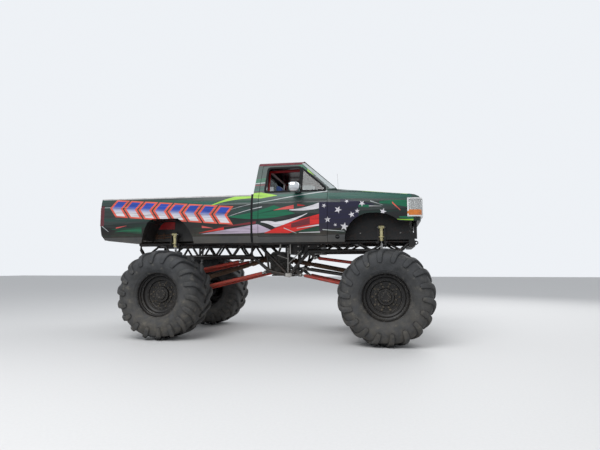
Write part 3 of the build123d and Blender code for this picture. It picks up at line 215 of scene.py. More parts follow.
def inset(corners, amount):
    """An outline's corners moved in towards its middle by about an amount on each side."""
    middle = sum((Vector(c) for c in corners), Vector((0, 0))) / len(corners)
    moved = []
    for i, corner in enumerate(corners):
        here = Vector(corner)
        before = (here - Vector(corners[i - 1])).normalized()
        after = (Vector(corners[(i + 1) % len(corners)]) - here).normalized()
        normals = [Vector((-before.y, before.x)), Vector((-after.y, after.x))]
        normals = [n if n.dot(middle - here) > 0 else -n for n in normals]
        spread = max(0.3, 1 + normals[0].dot(normals[1]))
        moved.append(here + (normals[0] + normals[1]) * amount / spread)
    return moved


def cab_side(x, z, side, out=0.0):
    """A point on the cab's sloping side above the belt, moved outwards by an amount."""
    share = (z - BELT_TOP) / (DOOR_TOP - BELT_TOP)
    return Vector((x, side * (BELT_HALF + (CANT_HALF - BELT_HALF) * share + out), z))


# Node tools
class Wires:
    """Short calls that add nodes to one node tree and link them."""

    def __init__(self, tree):
        self.tree = tree

    def node(self, kind, inputs=None, **settings):
        made = self.tree.nodes.new(kind)
        for key, value in settings.items():
            setattr(made, key, value)
        for key, value in (inputs or {}).items():
            self.feed(made.inputs[key], value)
        return made

    def feed(self, socket, value):
        if isinstance(value, bpy.types.NodeSocket):
            self.tree.links.new(value, socket)
        elif isinstance(value, (tuple, list)) and len(value) == 3 and socket.type == "RGBA":
            socket.default_value = (*value, 1.0)
        else:
            socket.default_value = value

    def math(self, operation, a, b=0.0, c=None, clamp=False):
        values = {0: a, 1: b} if c is None else {0: a, 1: b, 2: c}
        return self.node("ShaderNodeMath", values, operation=operation, use_clamp=clamp).outputs[0]

    def times(self, a, b, clamp=False):
        return self.math("MULTIPLY", a, b, clamp=clamp)

    def plus(self, a, b):
        return self.math("ADD", a, b)

    def minus(self, a, b):
        return self.math("SUBTRACT", a, b)

    def over(self, a, b):
        return self.math("DIVIDE", a, b)

    def size(self, a):
        return self.math("ABSOLUTE", a)

    def mix(self, factor, a, b):
        made = self.node("ShaderNodeMix", data_type="RGBA")
        self.feed(made.inputs[0], factor)
        self.feed(made.inputs[6], a)
        self.feed(made.inputs[7], b)
        return made.outputs[2]

    def blend(self, factor, a, b):
        made = self.node("ShaderNodeMix", data_type="FLOAT")
        self.feed(made.inputs[0], factor)
        self.feed(made.inputs[2], a)
        self.feed(made.inputs[3], b)
        return made.outputs[0]

    def remap(self, value, low, high, to_low=0.0, to_high=1.0):
        made = self.node("ShaderNodeMapRange", {0: value, 1: low, 2: high, 3: to_low, 4: to_high},
                         interpolation_type="SMOOTHSTEP")
        return made.outputs[0]

    def noise(self, place, scale, detail=3.0, roughness=0.55):
        made = self.node("ShaderNodeTexNoise", {"Vector": place, "Scale": scale, "Detail": detail,
                                                "Roughness": roughness})
        return made.outputs["Fac"]

    def stretch(self, place, scale):
        return self.node("ShaderNodeVectorMath", {0: place, 1: scale}, operation="MULTIPLY").outputs[0]

    def place(self):
        return self.node("ShaderNodeTexCoord").outputs["Object"]

    def parts(self, vector):
        return self.node("ShaderNodeSeparateXYZ", {0: vector}).outputs

    def mottle(self, patch, grain):
        return self.group(MOTTLE, Patch_size=patch, Grain_size=grain)

    def dust(self, clean, thick, ledges, patch, amount):
        return self.group(DUST, Clean_height=clean, Thick_height=thick, Ledges=ledges, Patch_size=patch,
                          Amount=amount)["Mask"]

    def group(self, tree, **inputs):
        made = self.tree.nodes.new("ShaderNodeGroup")
        made.node_tree = tree
        for key, value in inputs.items():
            self.feed(made.inputs[key.replace("_", " ")], value)
        return made.outputs


def shader_group(name, inputs, outputs):
    """An empty shader group with named sockets, its wires, and its input and output nodes."""
    tree = bpy.data.node_groups.new(name, "ShaderNodeTree")
    for socket, kind, value in inputs:
        made = tree.interface.new_socket(socket, in_out="INPUT", socket_type=kind)
        if value is not None:
            made.default_value = value
    for socket, kind in outputs:
        tree.interface.new_socket(socket, in_out="OUTPUT", socket_type=kind)
    wires = Wires(tree)
    return tree, wires, wires.node("NodeGroupInput").outputs, wires.node("NodeGroupOutput").inputs


FLOAT, VECTOR = "NodeSocketFloat", "NodeSocketVector"


def ribbon_group():
    """A painted ribbon: a band with a bowed centre line whose width runs from one end to the other."""
    tree, w, i, o = shader_group("Painted ribbon", [
        ("X", FLOAT, 0), ("Z", FLOAT, 0), ("Start X", FLOAT, 0), ("Start Z", FLOAT, 0), ("End X", FLOAT, 1),
        ("End Z", FLOAT, 0), ("Bow", FLOAT, 0), ("Start width", FLOAT, 0.1), ("End width", FLOAT, 0.1)],
        [("Mask", FLOAT)])
    run = w.minus(i["End X"], i["Start X"])
    share = w.over(w.minus(i["X"], i["Start X"]), run)
    rise = w.times(w.minus(i["End Z"], i["Start Z"]), share)
    arch = w.times(w.times(share, w.minus(1.0, share)), 4.0)
    centre = w.plus(w.plus(i["Start Z"], rise), w.times(arch, i["Bow"]))
    spread = w.times(w.minus(i["End width"], i["Start width"]), share)
    half = w.times(w.plus(i["Start width"], spread), 0.5)
    depth = w.minus(half, w.size(w.minus(i["Z"], centre)))
    edge = w.math("MULTIPLY_ADD", depth, 350.0, 0.5, clamp=True)
    ends = w.times(w.math("GREATER_THAN", share, 0.0), w.math("LESS_THAN", share, 1.0))
    w.feed(o["Mask"], w.times(edge, ends))
    return tree


def star_group():
    """A painted five-pointed star."""
    tree, w, i, o = shader_group("Painted star", [("X", FLOAT, 0), ("Z", FLOAT, 0), ("Centre X", FLOAT, 0),
                                                  ("Centre Z", FLOAT, 0), ("Radius", FLOAT, 0.05),
                                                  ("Tilt", FLOAT, 0)], [("Mask", FLOAT)])
    across = w.over(w.minus(i["X"], i["Centre X"]), i["Radius"])
    up = w.over(w.minus(i["Z"], i["Centre Z"]), i["Radius"])
    reach = w.math("SQRT", w.plus(w.times(across, across), w.times(up, up)))
    angle = w.plus(w.math("ARCTAN2", up, across), i["Tilt"])
    fold = w.math("PINGPONG", angle, pi / 5)
    # The folded point against the line from a tip to the notch beside it
    notch = 0.40
    normal = Vector((notch * sin(pi / 5), 1 - notch * cos(pi / 5))).normalized()
    along = w.times(w.minus(w.times(reach, w.math("COSINE", fold)), 1.0), normal.x)
    beside = w.times(w.times(reach, w.math("SINE", fold)), normal.y)
    w.feed(o["Mask"], w.math("MULTIPLY_ADD", w.plus(along, beside), -18.0, 0.5, clamp=True))
    return tree


def dust_group():
    """Road dust: thick low down and on what faces up, in soft patches."""
    tree, w, i, o = shader_group("Road dust", [
        ("Clean height", FLOAT, 1.6), ("Thick height", FLOAT, 0.2), ("Ledges", FLOAT, 0.4),
        ("Patch size", FLOAT, 0.3), ("Amount", FLOAT, 1.0)], [("Mask", FLOAT)])
    place = w.node("ShaderNodeTexCoord").outputs
    height = w.parts(place["Object"])[2]
    facing = w.parts(place["Normal"])[2]
    low = w.remap(height, i["Clean height"], i["Thick height"])
    ledge = w.times(w.remap(facing, 0.2, 0.95), i["Ledges"])
    patches = w.noise(place["Object"], w.over(1.0, i["Patch size"]), 6.0, 0.65)
    broken = w.remap(patches, 0.32, 0.68)
    total = w.times(w.math("MAXIMUM", low, ledge), w.math("MULTIPLY_ADD", broken, 0.8, 0.2))
    w.feed(o["Mask"], w.times(total, i["Amount"], clamp=True))
    return tree


def wear_group():
    """Paint worn through along edges, and small chips."""
    tree, w, i, o = shader_group("Worn edges", [
        ("Reach", FLOAT, 0.004), ("Break up", FLOAT, 30.0), ("Amount", FLOAT, 1.0)], [("Mask", FLOAT)])
    place = w.place()
    eased = w.node("ShaderNodeBevel", {"Radius": i["Reach"]}, samples=4).outputs[0]
    true = w.node("ShaderNodeNewGeometry").outputs["Normal"]
    turn = w.node("ShaderNodeVectorMath", {0: eased, 1: true}, operation="DOT_PRODUCT").outputs["Value"]
    edge = w.remap(turn, 0.985, 0.9)
    chips = w.remap(w.noise(place, i["Break up"], 4.0, 0.7), 0.42, 0.6)
    w.feed(o["Mask"], w.times(w.times(edge, chips), i["Amount"], clamp=True))
    return tree


def mottle_group():
    """Soft uneven tone, with a fine grain over it."""
    tree, w, i, o = shader_group("Mottle", [
        ("Patch size", FLOAT, 0.2), ("Grain size", FLOAT, 0.004), ("Stretch", VECTOR, (1, 1, 1))],
        [("Tone", FLOAT), ("Grain", FLOAT)])
    place = w.stretch(w.place(), i["Stretch"])
    w.feed(o["Tone"], w.remap(w.noise(place, w.over(1.0, i["Patch size"]), 4.0), 0.3, 0.7))
    w.feed(o["Grain"], w.noise(place, w.over(1.0, i["Grain size"]), 2.0))
    return tree


RIBBON = ribbon_group()
STAR = star_group()
DUST = dust_group()
WEAR = wear_group()
MOTTLE = mottle_group()


def new_material(name, **constants):
    """A material with a Principled shader, its wires, and the shader's inputs."""
    material = bpy.data.materials.new(name)
    material.use_nodes = True
    shader = material.node_tree.nodes["Principled BSDF"]
    for key, value in constants.items():
        socket = shader.inputs[key.replace("_", " ")]
        socket.default_value = (*value, 1.0) if isinstance(value, tuple) and len(value) == 3 else value
    return material, Wires(material.node_tree), shader.inputs


def shaded(colour, factor):
    """A colour made darker or lighter by a factor."""
    return tuple(min(1.0, c * factor) for c in colour)


def bumped(w, height, distance, strength=1.0):
    """A normal from a height."""
    return w.node("ShaderNodeBump",
                  {"Height": height, "Distance": distance, "Strength": strength}).outputs[0]


# Paint colours, as linear values
CHARCOAL = (0.030, 0.040, 0.038)
BLACK = (0.008, 0.009, 0.010)
EMERALD = (0.005, 0.112, 0.055)
DEEP_GREEN = (0.003, 0.045, 0.026)
TEAL = (0.006, 0.074, 0.054)
LIME = (0.270, 0.520, 0.036)
WHITE = (0.600, 0.585, 0.620)
SILVER = (0.42, 0.45, 0.46)
LILAC = (0.420, 0.350, 0.450)
RED = (0.560, 0.018, 0.016)
SALMON = (0.540, 0.085, 0.080)
MAROON = (0.140, 0.014, 0.022)
NAVY = (0.009, 0.008, 0.030)
ROCKER = (0.045, 0.050, 0.055)
CORAL = (0.640, 0.105, 0.070)
BLUE = (0.020, 0.060, 0.360)
DUST_TAN = (0.230, 0.190, 0.135)
TRIM_BLACK = (0.012, 0.012, 0.013)

RIBBONS = [
    # colour, start x, start z, end x, end z, bow, start width, end width
    (TEAL, -1.90, 2.270, -0.66, 2.190, 0.010, 0.010, 0.080),
    (DEEP_GREEN, -1.10, 2.235, -0.05, 2.215, 0.010, 0.010, 0.050),
    (TEAL, 0.16, 2.290, 1.18, 2.262, 0.012, 0.020, 0.100),
    (TEAL, 1.16, 2.262, 2.46, 2.220, 0.006, 0.100, 0.090),
    (LIME, 1.50, 2.342, 2.40, 2.262, 0.012, 0.003, 0.016),
    # Painted highlight: this silver line along the front fender's top edge stands for light caught on that
    # edge
    (SILVER, 1.35, 2.362, 2.45, 2.268, 0.014, 0.008, 0.006),
    (EMERALD, -0.46, 1.968, 0.32, 2.035, -0.030, 0.006, 0.200),
    (EMERALD, 0.32, 2.035, 0.66, 1.995, 0.0, 0.200, 0.004),
    (DEEP_GREEN, 0.02, 1.990, 0.52, 2.075, 0.010, 0.002, 0.034),
    (DEEP_GREEN, -2.56, 1.800, -1.98, 1.765, -0.010, 0.010, 0.130),
    (EMERALD, -2.48, 1.745, -1.98, 1.760, 0.014, 0.004, 0.062),
    (EMERALD, 1.47, 2.030, 1.82, 2.090, 0.025, 0.006, 0.075),
    (EMERALD, 1.98, 2.135, 2.40, 2.105, 0.010, 0.040, 0.110),
    (LIME, -0.80, 2.140, 0.09, 2.305, 0.045, 0.004, 0.105),
    (LIME, 0.09, 2.305, 0.36, 2.296, 0.0, 0.105, 0.004),
    (SILVER, -0.55, 2.040, 0.27, 2.213, 0.020, 0.004, 0.010),
    (SILVER, 0.27, 2.213, 1.18, 2.346, 0.008, 0.010, 0.016),
    (WHITE, -0.44, 1.970, 0.12, 2.112, 0.012, 0.003, 0.011),
    (LILAC, -0.92, 1.690, 0.05, 1.763, 0.0, 0.000, 0.145),
    (LILAC, 0.05, 1.763, 0.27, 1.722, 0.0, 0.145, 0.030),
    (MAROON, -0.62, 1.792, 0.02, 1.862, 0.0, 0.010, 0.040),
    (RED, -0.95, 1.706, -0.52, 1.774, 0.0, 0.004, 0.046),
    (SALMON, -0.90, 1.808, -0.70, 1.780, 0.0, 0.036, 0.002),
    (SALMON, 0.31, 2.052, 0.64, 2.098, 0.004, 0.002, 0.068),
    (WHITE, 0.57, 2.052, 1.06, 2.116, -0.022, 0.012, 0.092),
    (RED, 0.70, 2.128, 0.82, 2.116, 0.0, 0.034, 0.006),
    (DEEP_GREEN, 0.56, 1.735, 1.06, 1.720, 0.0, 0.030, 0.110),
    (RED, 0.16, 1.690, 0.565, 1.768, 0.0, 0.006, 0.170),
    (RED, 0.565, 1.768, 1.045, 1.886, 0.0, 0.170, 0.178),
    (MAROON, 0.60, 1.800, 0.90, 1.872, 0.0, 0.070, 0.110),
    (WHITE, 0.10, 1.868, 0.34, 1.820, 0.014, 0.010, 0.085),
    (WHITE, 0.34, 1.820, 0.86, 1.992, -0.020, 0.085, 0.008),
    (WHITE, 0.69, 1.757, 1.06, 1.806, 0.0, 0.006, 0.024),
    (WHITE, 0.72, 1.688, 1.06, 1.694, 0.0, 0.006, 0.020),
    (SILVER, 0.48, 1.765, 0.68, 1.682, 0.0, 0.014, 0.006),
    (NAVY, 1.045, 1.940, 1.66, 1.965, 0.0, 0.470, 0.330),
    (NAVY, 1.38, 2.150, 1.90, 2.105, 0.006, 0.110, 0.012),
    (SILVER, 1.10, 1.730, 1.44, 1.700, 0.0, 0.014, 0.008),
    (SILVER, 1.84, 2.160, 2.03, 2.092, 0.0, 0.014, 0.004),
    (WHITE, 1.82, 2.082, 2.01, 2.076, 0.0, 0.010, 0.003),
    (CORAL, 2.17, 2.128, 2.29, 2.008, 0.0, 0.030, 0.014),
    (EMERALD, 2.27, 1.902, 2.48, 1.890, 0.0, 0.016, 0.060),
    (LIME, 2.22, 1.872, 2.48, 1.858, -0.004, 0.006, 0.020),
    (SALMON, -2.46, 1.812, -2.26, 1.850, 0.0, 0.022, 0.004),
    (SILVER, -2.74, 1.862, -2.60, 1.752, 0.0, 0.016, 0.010),
    # Painted highlight: this silver line along the bed's crease stands for light caught on the crease
    (SILVER, -2.76, 2.168, -2.10, 2.172, 0.0, 0.010, 0.002),
    # White line along the bed rail's top: a pinstripe and a painted highlight of the rail's edge
    (WHITE, -2.74, 2.310, -0.06, 2.306, 0.0, 0.013, 0.010),
    (EMERALD, -0.05, 2.560, 0.28, 2.582, 0.0, 0.060, 0.090),
    (SILVER, -0.05, 2.516, 0.28, 2.532, 0.0, 0.012, 0.012),
    (MAROON, -0.05, 2.484, 0.28, 2.496, 0.0, 0.022, 0.016),
    (TEAL, -0.05, 2.412, 0.28, 2.420, 0.0, 0.060, 0.040),
    (EMERALD, 0.66, 2.860, 0.98, 2.640, 0.0, 0.070, 0.075),
    (LIME, 0.83, 2.735, 0.94, 2.655, 0.0, 0.060, 0.050),
]
STARS = [
    # centre x, centre z, radius, tilt in degrees
    (1.125, 2.105, 0.038, 12),
    (1.180, 1.885, 0.050, -20),
    (1.300, 1.800, 0.028, 30),
    (1.345, 2.035, 0.060, 5),
    (1.440, 1.770, 0.068, -8),
    (1.480, 2.165, 0.034, 24),
    (1.555, 1.955, 0.050, 40),
    (1.640, 2.010, 0.040, -14),
    (1.715, 2.125, 0.050, 18),
    (2.030, 1.990, 0.056, 0),
]


def body_paint():
    """The striped enamel: one scheme for both flanks, plain charcoal on top, dark inside; a few thin pale
    lines on the flanks are painted highlights.
    """
    material, w, shader = new_material("Body paint", Coat_Weight=0.10, Coat_Roughness=0.14,
                                       Specular_IOR_Level=0.24)
    place = w.node("ShaderNodeTexCoord").outputs
    x, y, z = w.parts(place["Object"])
    across, out, up = w.parts(place["Normal"])
    outward = w.times(out, w.math("SIGN", y))

    streaks = w.noise(w.stretch(place["Object"], (0.8, 0.2, 9.0)), 1.6, 5.0, 0.6)
    fine_streaks = w.noise(w.stretch(place["Object"], (1.5, 0.2, 30.0)), 2.0, 3.0, 0.6)
    base = w.mix(w.remap(streaks, 0.42, 0.62), CHARCOAL, (0.018, 0.050, 0.042))
    base = w.mix(w.times(w.remap(fine_streaks, 0.60, 0.72), 0.5), base, (0.10, 0.11, 0.11))
    sag = w.math("MULTIPLY_ADD", x, 0.035, 1.985)
    wander = w.times(w.minus(streaks, 0.5), 0.35)
    lower = w.remap(w.minus(z, w.plus(sag, wander)), 0.02, -0.06)
    flank = w.mix(lower, base, w.mix(w.remap(streaks, 0.5, 0.6), BLACK, (0.006, 0.020, 0.016)))

    for colour, x0, z0, x1, z1, bow, w0, w1 in RIBBONS:
        mask = w.group(RIBBON, X=x, Z=z, Start_X=x0, Start_Z=z0, End_X=x1, End_Z=z1, Bow=bow, Start_width=w0,
                       End_width=w1)["Mask"]
        flank = w.mix(mask, flank, colour)
    for cx, cz, radius, tilt in STARS:
        mask = w.group(STAR, X=x, Z=z, Centre_X=cx, Centre_Z=cz, Radius=radius, Tilt=radians(tilt))["Mask"]
        flank = w.mix(mask, flank, WHITE)
    flank = arrow_band(w, x, z, flank)

    # Fine dark streaks over all the colours, along the truck
    drag = w.times(w.remap(fine_streaks, 0.42, 0.62), w.remap(streaks, 0.62, 0.40, 0.12, 0.42))
    flank = w.mix(drag, flank, BLACK)

    # Two-tone lower edge with a black line above it
    for top, colour in ((1.672, BLACK), (1.650, ROCKER)):
        flank = w.mix(w.remap(z, top, top - 0.004), flank, colour)

    on_top = w.remap(up, 0.72, 0.86)
    crown = w.mix(w.remap(w.size(y), 0.70, 0.74), base, (0.012, 0.070, 0.052))
    crown = w.mix(w.group(RIBBON, X=x, Z=w.size(y), Start_X=1.35, Start_Z=0.52, End_X=2.52, End_Z=0.70,
                          Bow=0.02, Start_width=0.01, End_width=0.05)["Mask"], crown, LIME)
    colour = w.mix(on_top, flank, crown)
    # Faces turned inwards, and those turned forwards anywhere behind the front panel, are inside
    forward = w.times(w.remap(across, 0.80, 0.92), w.math("LESS_THAN", x, 2.40))
    inside = w.math("MAXIMUM", w.remap(outward, -0.15, -0.35), forward)
    colour = w.mix(inside, colour, TRIM_BLACK)
    under = w.remap(up, -0.80, -0.92)
    colour = w.mix(under, colour, BLACK)

    dust = w.dust(1.95, 1.35, 0.10, 0.5, 0.32)
    w.feed(shader["Base Color"], w.mix(dust, colour, DUST_TAN))
    ripple = w.noise(place["Object"], 3.0, 1.0)
    dull = w.math("MAXIMUM", w.times(dust, 0.6), w.times(inside, 0.4))
    w.feed(shader["Roughness"], w.plus(0.36, dull))
    w.feed(shader["Normal"], bumped(w, ripple, 0.004, 0.25))
    return material


BAND_START, BAND_END = -2.60, -0.46
BAND_TOP_REAR, BAND_DROP = 2.160, 0.079
BAND_HALF = 0.150
ARROWS = 8


def arrow_band(w, x, z, under):
    """A run of blue and white arrowheads in a coral band along the upper bed."""
    along = w.over(w.minus(x, BAND_START), BAND_END - BAND_START)
    centre = w.minus(BAND_TOP_REAR, w.times(w.minus(x, BAND_START), BAND_DROP))
    rise = w.over(w.minus(z, centre), BAND_HALF)
    lean = w.times(w.size(rise), -0.42)
    count = w.plus(w.times(along, float(ARROWS)), lean)
    phase = w.size(w.minus(w.math("FRACT", count), 0.5))
    ends = w.times(w.math("GREATER_THAN", count, 0.0), w.math("LESS_THAN", count, float(ARROWS)))
    inside = w.times(w.remap(phase, 0.300, 0.288), w.remap(w.size(rise), 0.86, 0.83))
    outside = w.times(w.remap(phase, 0.455, 0.440), w.remap(w.size(rise), 1.02, 0.99))
    face = w.mix(w.remap(rise, -0.55, 0.35), WHITE, BLUE)
    banded = w.mix(w.times(outside, ends), under, CORAL)
    return w.mix(w.times(inside, ends), banded, face)


def plain_enamel(name, colour, roughness, worn_to=(0.12, 0.11, 0.10), wear=0.5, dust=0.5, clean=1.7,
                 rust=0.0, coat=0.15):
    """Single-colour paint with uneven tone, worn edges and road dust."""
    material, w, shader = new_material(name, Coat_Weight=coat, Coat_Roughness=0.2, Specular_IOR_Level=0.35)
    tone, grain = w.mottle(0.12, 0.003)
    shade = w.mix(tone, shaded(colour, 0.72), shaded(colour, 1.2))
    if rust:
        spots = w.mottle(0.045, 0.002)["Tone"]
        shade = w.mix(w.times(w.remap(spots, 0.55, 0.9), rust), shade, (0.13, 0.045, 0.018))
    chips = w.group(WEAR, Reach=0.005, Break_up=28.0, Amount=wear)["Mask"]
    shade = w.mix(chips, shade, worn_to)
    film = w.dust(clean, 0.4, 0.5, 0.18, dust)
    w.feed(shader["Base Color"], w.mix(film, shade, DUST_TAN))
    rough = w.plus(roughness, w.times(w.math("MAXIMUM", film, chips), 0.35))
    w.feed(shader["Roughness"], w.math("MINIMUM", rough, 0.95))
    w.feed(shader["Normal"], bumped(w, grain, 0.0006, 0.4))
    return material


def tyre_rubber():
    """Old rubber: grey bloom, fine cracks and tan dust in the tread and low on the sidewall, with painted
    shade in the hollows between the lugs.
    """
    material, w, shader = new_material("Tyre rubber", Specular_IOR_Level=0.35)
    place = w.place()
    tone, grain = w.mottle(0.10, 0.004)
    shade = w.mix(tone, (0.025, 0.027, 0.029), (0.050, 0.052, 0.056))
    smears = w.noise(place, 9.0, 6.0, 0.7)
    shade = w.mix(w.remap(smears, 0.54, 0.74), shade, (0.105, 0.100, 0.088))
    film = w.dust(1.35, 0.0, 0.25, 0.11, 0.35)
    shade = w.mix(film, shade, (0.150, 0.128, 0.095))
    # Painted shade: an ambient occlusion mask darkens the hollows between the lugs below the worn tops
    lug_hollow_shade = w.node("ShaderNodeAmbientOcclusion", {"Distance": 0.09}, samples=6).outputs["AO"]
    w.feed(shader["Base Color"], w.mix(w.remap(lug_hollow_shade, 0.40, 0.92), (0.007, 0.007, 0.008), shade))
    w.feed(shader["Roughness"], w.math("MULTIPLY_ADD", tone, 0.18, 0.62))
    pits = w.plus(w.times(grain, 0.5), w.noise(place, 60.0, 4.0, 0.7))
    w.feed(shader["Normal"], bumped(w, pits, 0.003, 0.5))
    return material


def polished(name, colour, roughness, metallic=1.0):
    """Plated or polished metal with faint smudges."""
    material, w, shader = new_material(name, Metallic=metallic)
    tone, grain = w.mottle(0.06, 0.002)
    w.feed(shader["Base Color"], w.mix(tone, shaded(colour, 0.85), colour))
    w.feed(shader["Roughness"], w.math("MULTIPLY_ADD", tone, 0.12, roughness))
    w.feed(shader["Normal"], bumped(w, grain, 0.0002, 0.2))
    return material


def cast_metal(name, dark, light, roughness, metallic):
    """Rough castings with oil-dark patches and dust."""
    material, w, shader = new_material(name, Metallic=metallic)
    tone, grain = w.mottle(0.09, 0.005)
    film = w.dust(1.5, 0.4, 0.5, 0.15, 0.5)
    w.feed(shader["Base Color"], w.mix(film, w.mix(tone, dark, light), DUST_TAN))
    w.feed(shader["Roughness"], w.math("MULTIPLY_ADD", grain, 0.2, roughness))
    w.feed(shader["Normal"], bumped(w, grain, 0.0015, 0.6))
    return material


def moulded_plastic(name, colour, roughness, specular=0.5):
    """Moulded plastic or rubber trim with a fine grain."""
    material, w, shader = new_material(name, Specular_IOR_Level=specular)
    tone, grain = w.mottle(0.15, 0.002)
    w.feed(shader["Base Color"], w.mix(tone, shaded(colour, 0.8), colour))
    w.feed(shader["Roughness"], w.math("MULTIPLY_ADD", tone, 0.08, roughness))
    w.feed(shader["Normal"], bumped(w, grain, 0.0004, 0.5))
    return material


def lens_plastic(name, colour, clear):
    """A lamp lens: tinted, partly see-through, with moulded flutes."""
    material, w, shader = new_material(name, Roughness=0.08, Transmission_Weight=clear, IOR=1.45,
                                       Coat_Weight=0.5, Coat_Roughness=0.03)
    tone = w.mottle(0.05, 0.004)["Tone"]
    w.feed(shader["Base Color"], w.mix(tone, shaded(colour, 0.8), colour))
    place = w.place()
    flutes = w.node("ShaderNodeTexWave", {"Vector": place, "Scale": 22.0},
                    bands_direction="Z").outputs["Fac"]
    w.feed(shader["Normal"], bumped(w, flutes, 0.002, 0.4))
    return material


def window_glass():
    """Clear glass with a faint film of dust."""
    material, w, shader = new_material("Window glass", IOR=1.45, Transmission_Weight=1.0)
    tone = w.mottle(0.2, 0.01)["Tone"]
    w.feed(shader["Base Color"], w.mix(tone, (0.10, 0.12, 0.12), (0.16, 0.18, 0.18)))
    w.feed(shader["Roughness"], w.times(tone, 0.03))
    return material


def seat_cloth():
    """Blue woven seat cloth."""
    material, w, shader = new_material("Seat cloth", Sheen_Weight=0.3, Sheen_Roughness=0.5)
    place = w.place()
    x, y, z = w.parts(place)
    warp = w.math("SINE", w.times(y, 2 * pi / 0.004))
    weft = w.math("SINE", w.times(w.plus(x, z), 2 * pi / 0.004))
    weave = w.times(warp, weft)
    tone = w.mottle(0.12, 0.003)["Tone"]
    blue = w.mix(tone, (0.015, 0.040, 0.150), (0.030, 0.070, 0.230))
    w.feed(shader["Base Color"], w.mix(w.remap(weave, -0.8, 0.8), blue, (0.020, 0.050, 0.170)))
    w.feed(shader["Roughness"], w.math("MULTIPLY_ADD", tone, 0.1, 0.82))
    w.feed(shader["Normal"], bumped(w, weave, 0.0008, 0.6))
    return material


MATERIALS = {"body_paint": body_paint(), "bed_liner": plain_enamel("Bed lining", (0.016, 0.016, 0.017), 0.6,
                                                                   wear=0.6, dust=0.5, clean=3.0),
             "roof_paint": plain_enamel("Roof enamel", (0.105, 0.010, 0.018), 0.25, wear=0.1, dust=0.1),
             "tub_paint": plain_enamel("Tub paint", (0.014, 0.014, 0.015), 0.5, wear=0.3, dust=0.25,
                                       clean=2.2),
             "chassis_black": plain_enamel("Chassis paint", (0.009, 0.009, 0.010), 0.44, wear=0.4, dust=0.25,
                                           rust=0.12),
             "link_red": plain_enamel("Link paint", (0.42, 0.030, 0.018), 0.4, (0.05, 0.035, 0.03), 0.9,
                                      0.25, rust=0.5),
             "cage_red": plain_enamel("Cage paint", (0.36, 0.010, 0.014), 0.3, wear=0.1, dust=0.05),
             "wheel_black": plain_enamel("Wheel paint", (0.005, 0.005, 0.006), 0.46, (0.30, 0.28, 0.25),
                                         0.95, dust=0.06, clean=1.3, coat=0.0), "tyre": tyre_rubber(),
             "glass": window_glass(), "chrome": polished("Mirror chrome", (0.60, 0.62, 0.64), 0.09),
             "lamp_lens": lens_plastic("Clear lens", (0.85, 0.87, 0.86), 0.7),
             "tail_lens": lens_plastic("Red lens", (0.105, 0.005, 0.012), 0.15),
             "grille_plastic": moulded_plastic("Grille plastic", (0.035, 0.036, 0.038), 0.5),
             "seat_fabric": seat_cloth(), "trim": moulded_plastic("Cab trim", (0.020, 0.020, 0.022), 0.6),
             "case_grey": cast_metal("Case metal", (0.040, 0.040, 0.040), (0.120, 0.118, 0.112), 0.5, 0.5),
             "engine_iron": cast_metal("Engine metal", (0.020, 0.020, 0.021), (0.065, 0.062, 0.058), 0.55,
                                       0.4),
             "shaft_rust": cast_metal("Rusty tube", (0.060, 0.028, 0.016), (0.120, 0.062, 0.035), 0.7, 0.3),
             "shock_gold": plain_enamel("Shock paint", (0.64, 0.58, 0.32), 0.35, wear=0.2, dust=0.08),
             "shock_steel": polished("Plated rod", (0.62, 0.62, 0.62), 0.2), }
RUBBER_TRIM = moulded_plastic("Rubber trim", (0.006, 0.006, 0.007), 0.7, 0.2)
AMBER_LENS = lens_plastic("Amber lens", (0.70, 0.20, 0.015), 0.15)
PALE_BEZEL = polished("Lamp bezel", (0.80, 0.80, 0.79), 0.22, 0.7)
BARE_STEEL = cast_metal("Bolt steel", (0.22, 0.21, 0.20), (0.46, 0.45, 0.43), 0.36, 0.8)
DARK_STEEL = cast_metal("Dark bolt steel", (0.020, 0.019, 0.018), (0.060, 0.056, 0.052), 0.5, 0.6)
LAMP_BOWL = polished("Lamp bowl", (0.30, 0.31, 0.32), 0.3, 0.8)
# Opaque pale plastic for the wrapped corners of the windscreen: a painted reflection of the sky
CORNER_GLASS_REFLECTION = moulded_plastic("Corner glass painted reflection", (0.27, 0.31, 0.32), 0.22, 0.35)
PANEL_RED = plain_enamel("Panel red", (0.30, 0.010, 0.012), 0.4, wear=0.2, dust=0.15)
# Pale line for the bed rail tops: a pinstripe and a painted highlight of the rail's edge
RAIL_LINE_AND_HIGHLIGHT = plain_enamel("Rail pinstripe and painted highlight", (0.46, 0.44, 0.43), 0.4, wear=0.2, dust=0.1)


# Wheels and tyres
LUGS_PER_SIDE = 18
CARCASS = [
    # along the axle from the tyre's middle, radius
    (0.262, 0.345), (0.300, 0.352), (0.318, 0.372), (0.326, 0.384), (0.332, 0.388), (0.337, 0.400),
    (0.352, 0.430), (0.363, 0.462), (0.368, 0.495), (0.366, 0.530), (0.359, 0.568), (0.345, 0.604),
    (0.322, 0.636), (0.288, 0.658), (0.240, 0.668), (0.160, 0.672), (0.080, 0.674), (0.000, 0.675),
]
LUG_PATH = [
    # share of the half circle pitch forwards, along the axle, top radius, half width, depth to the root
    (0.00, 0.020, 0.707, 0.024, 0.050),
    (0.10, 0.060, 0.709, 0.027, 0.050),
    (0.26, 0.120, 0.710, 0.029, 0.052),
    (0.42, 0.180, 0.710, 0.031, 0.054),
    (0.58, 0.240, 0.708, 0.033, 0.058),
    (0.70, 0.286, 0.697, 0.035, 0.062),
    (0.79, 0.322, 0.679, 0.036, 0.064),
    (0.86, 0.350, 0.650, 0.037, 0.060),
    (0.91, 0.370, 0.612, 0.036, 0.050),
    (0.95, 0.381, 0.572, 0.034, 0.040),
    (0.97, 0.386, 0.535, 0.030, 0.032),
    (0.98, 0.384, 0.508, 0.022, 0.028),
]
LUG_SWEEP = 0.33


def wheel_place(corner):
    """The middle of a tyre, from its box."""
    low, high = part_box("tyre_" + corner)
    return (low + high) / 2


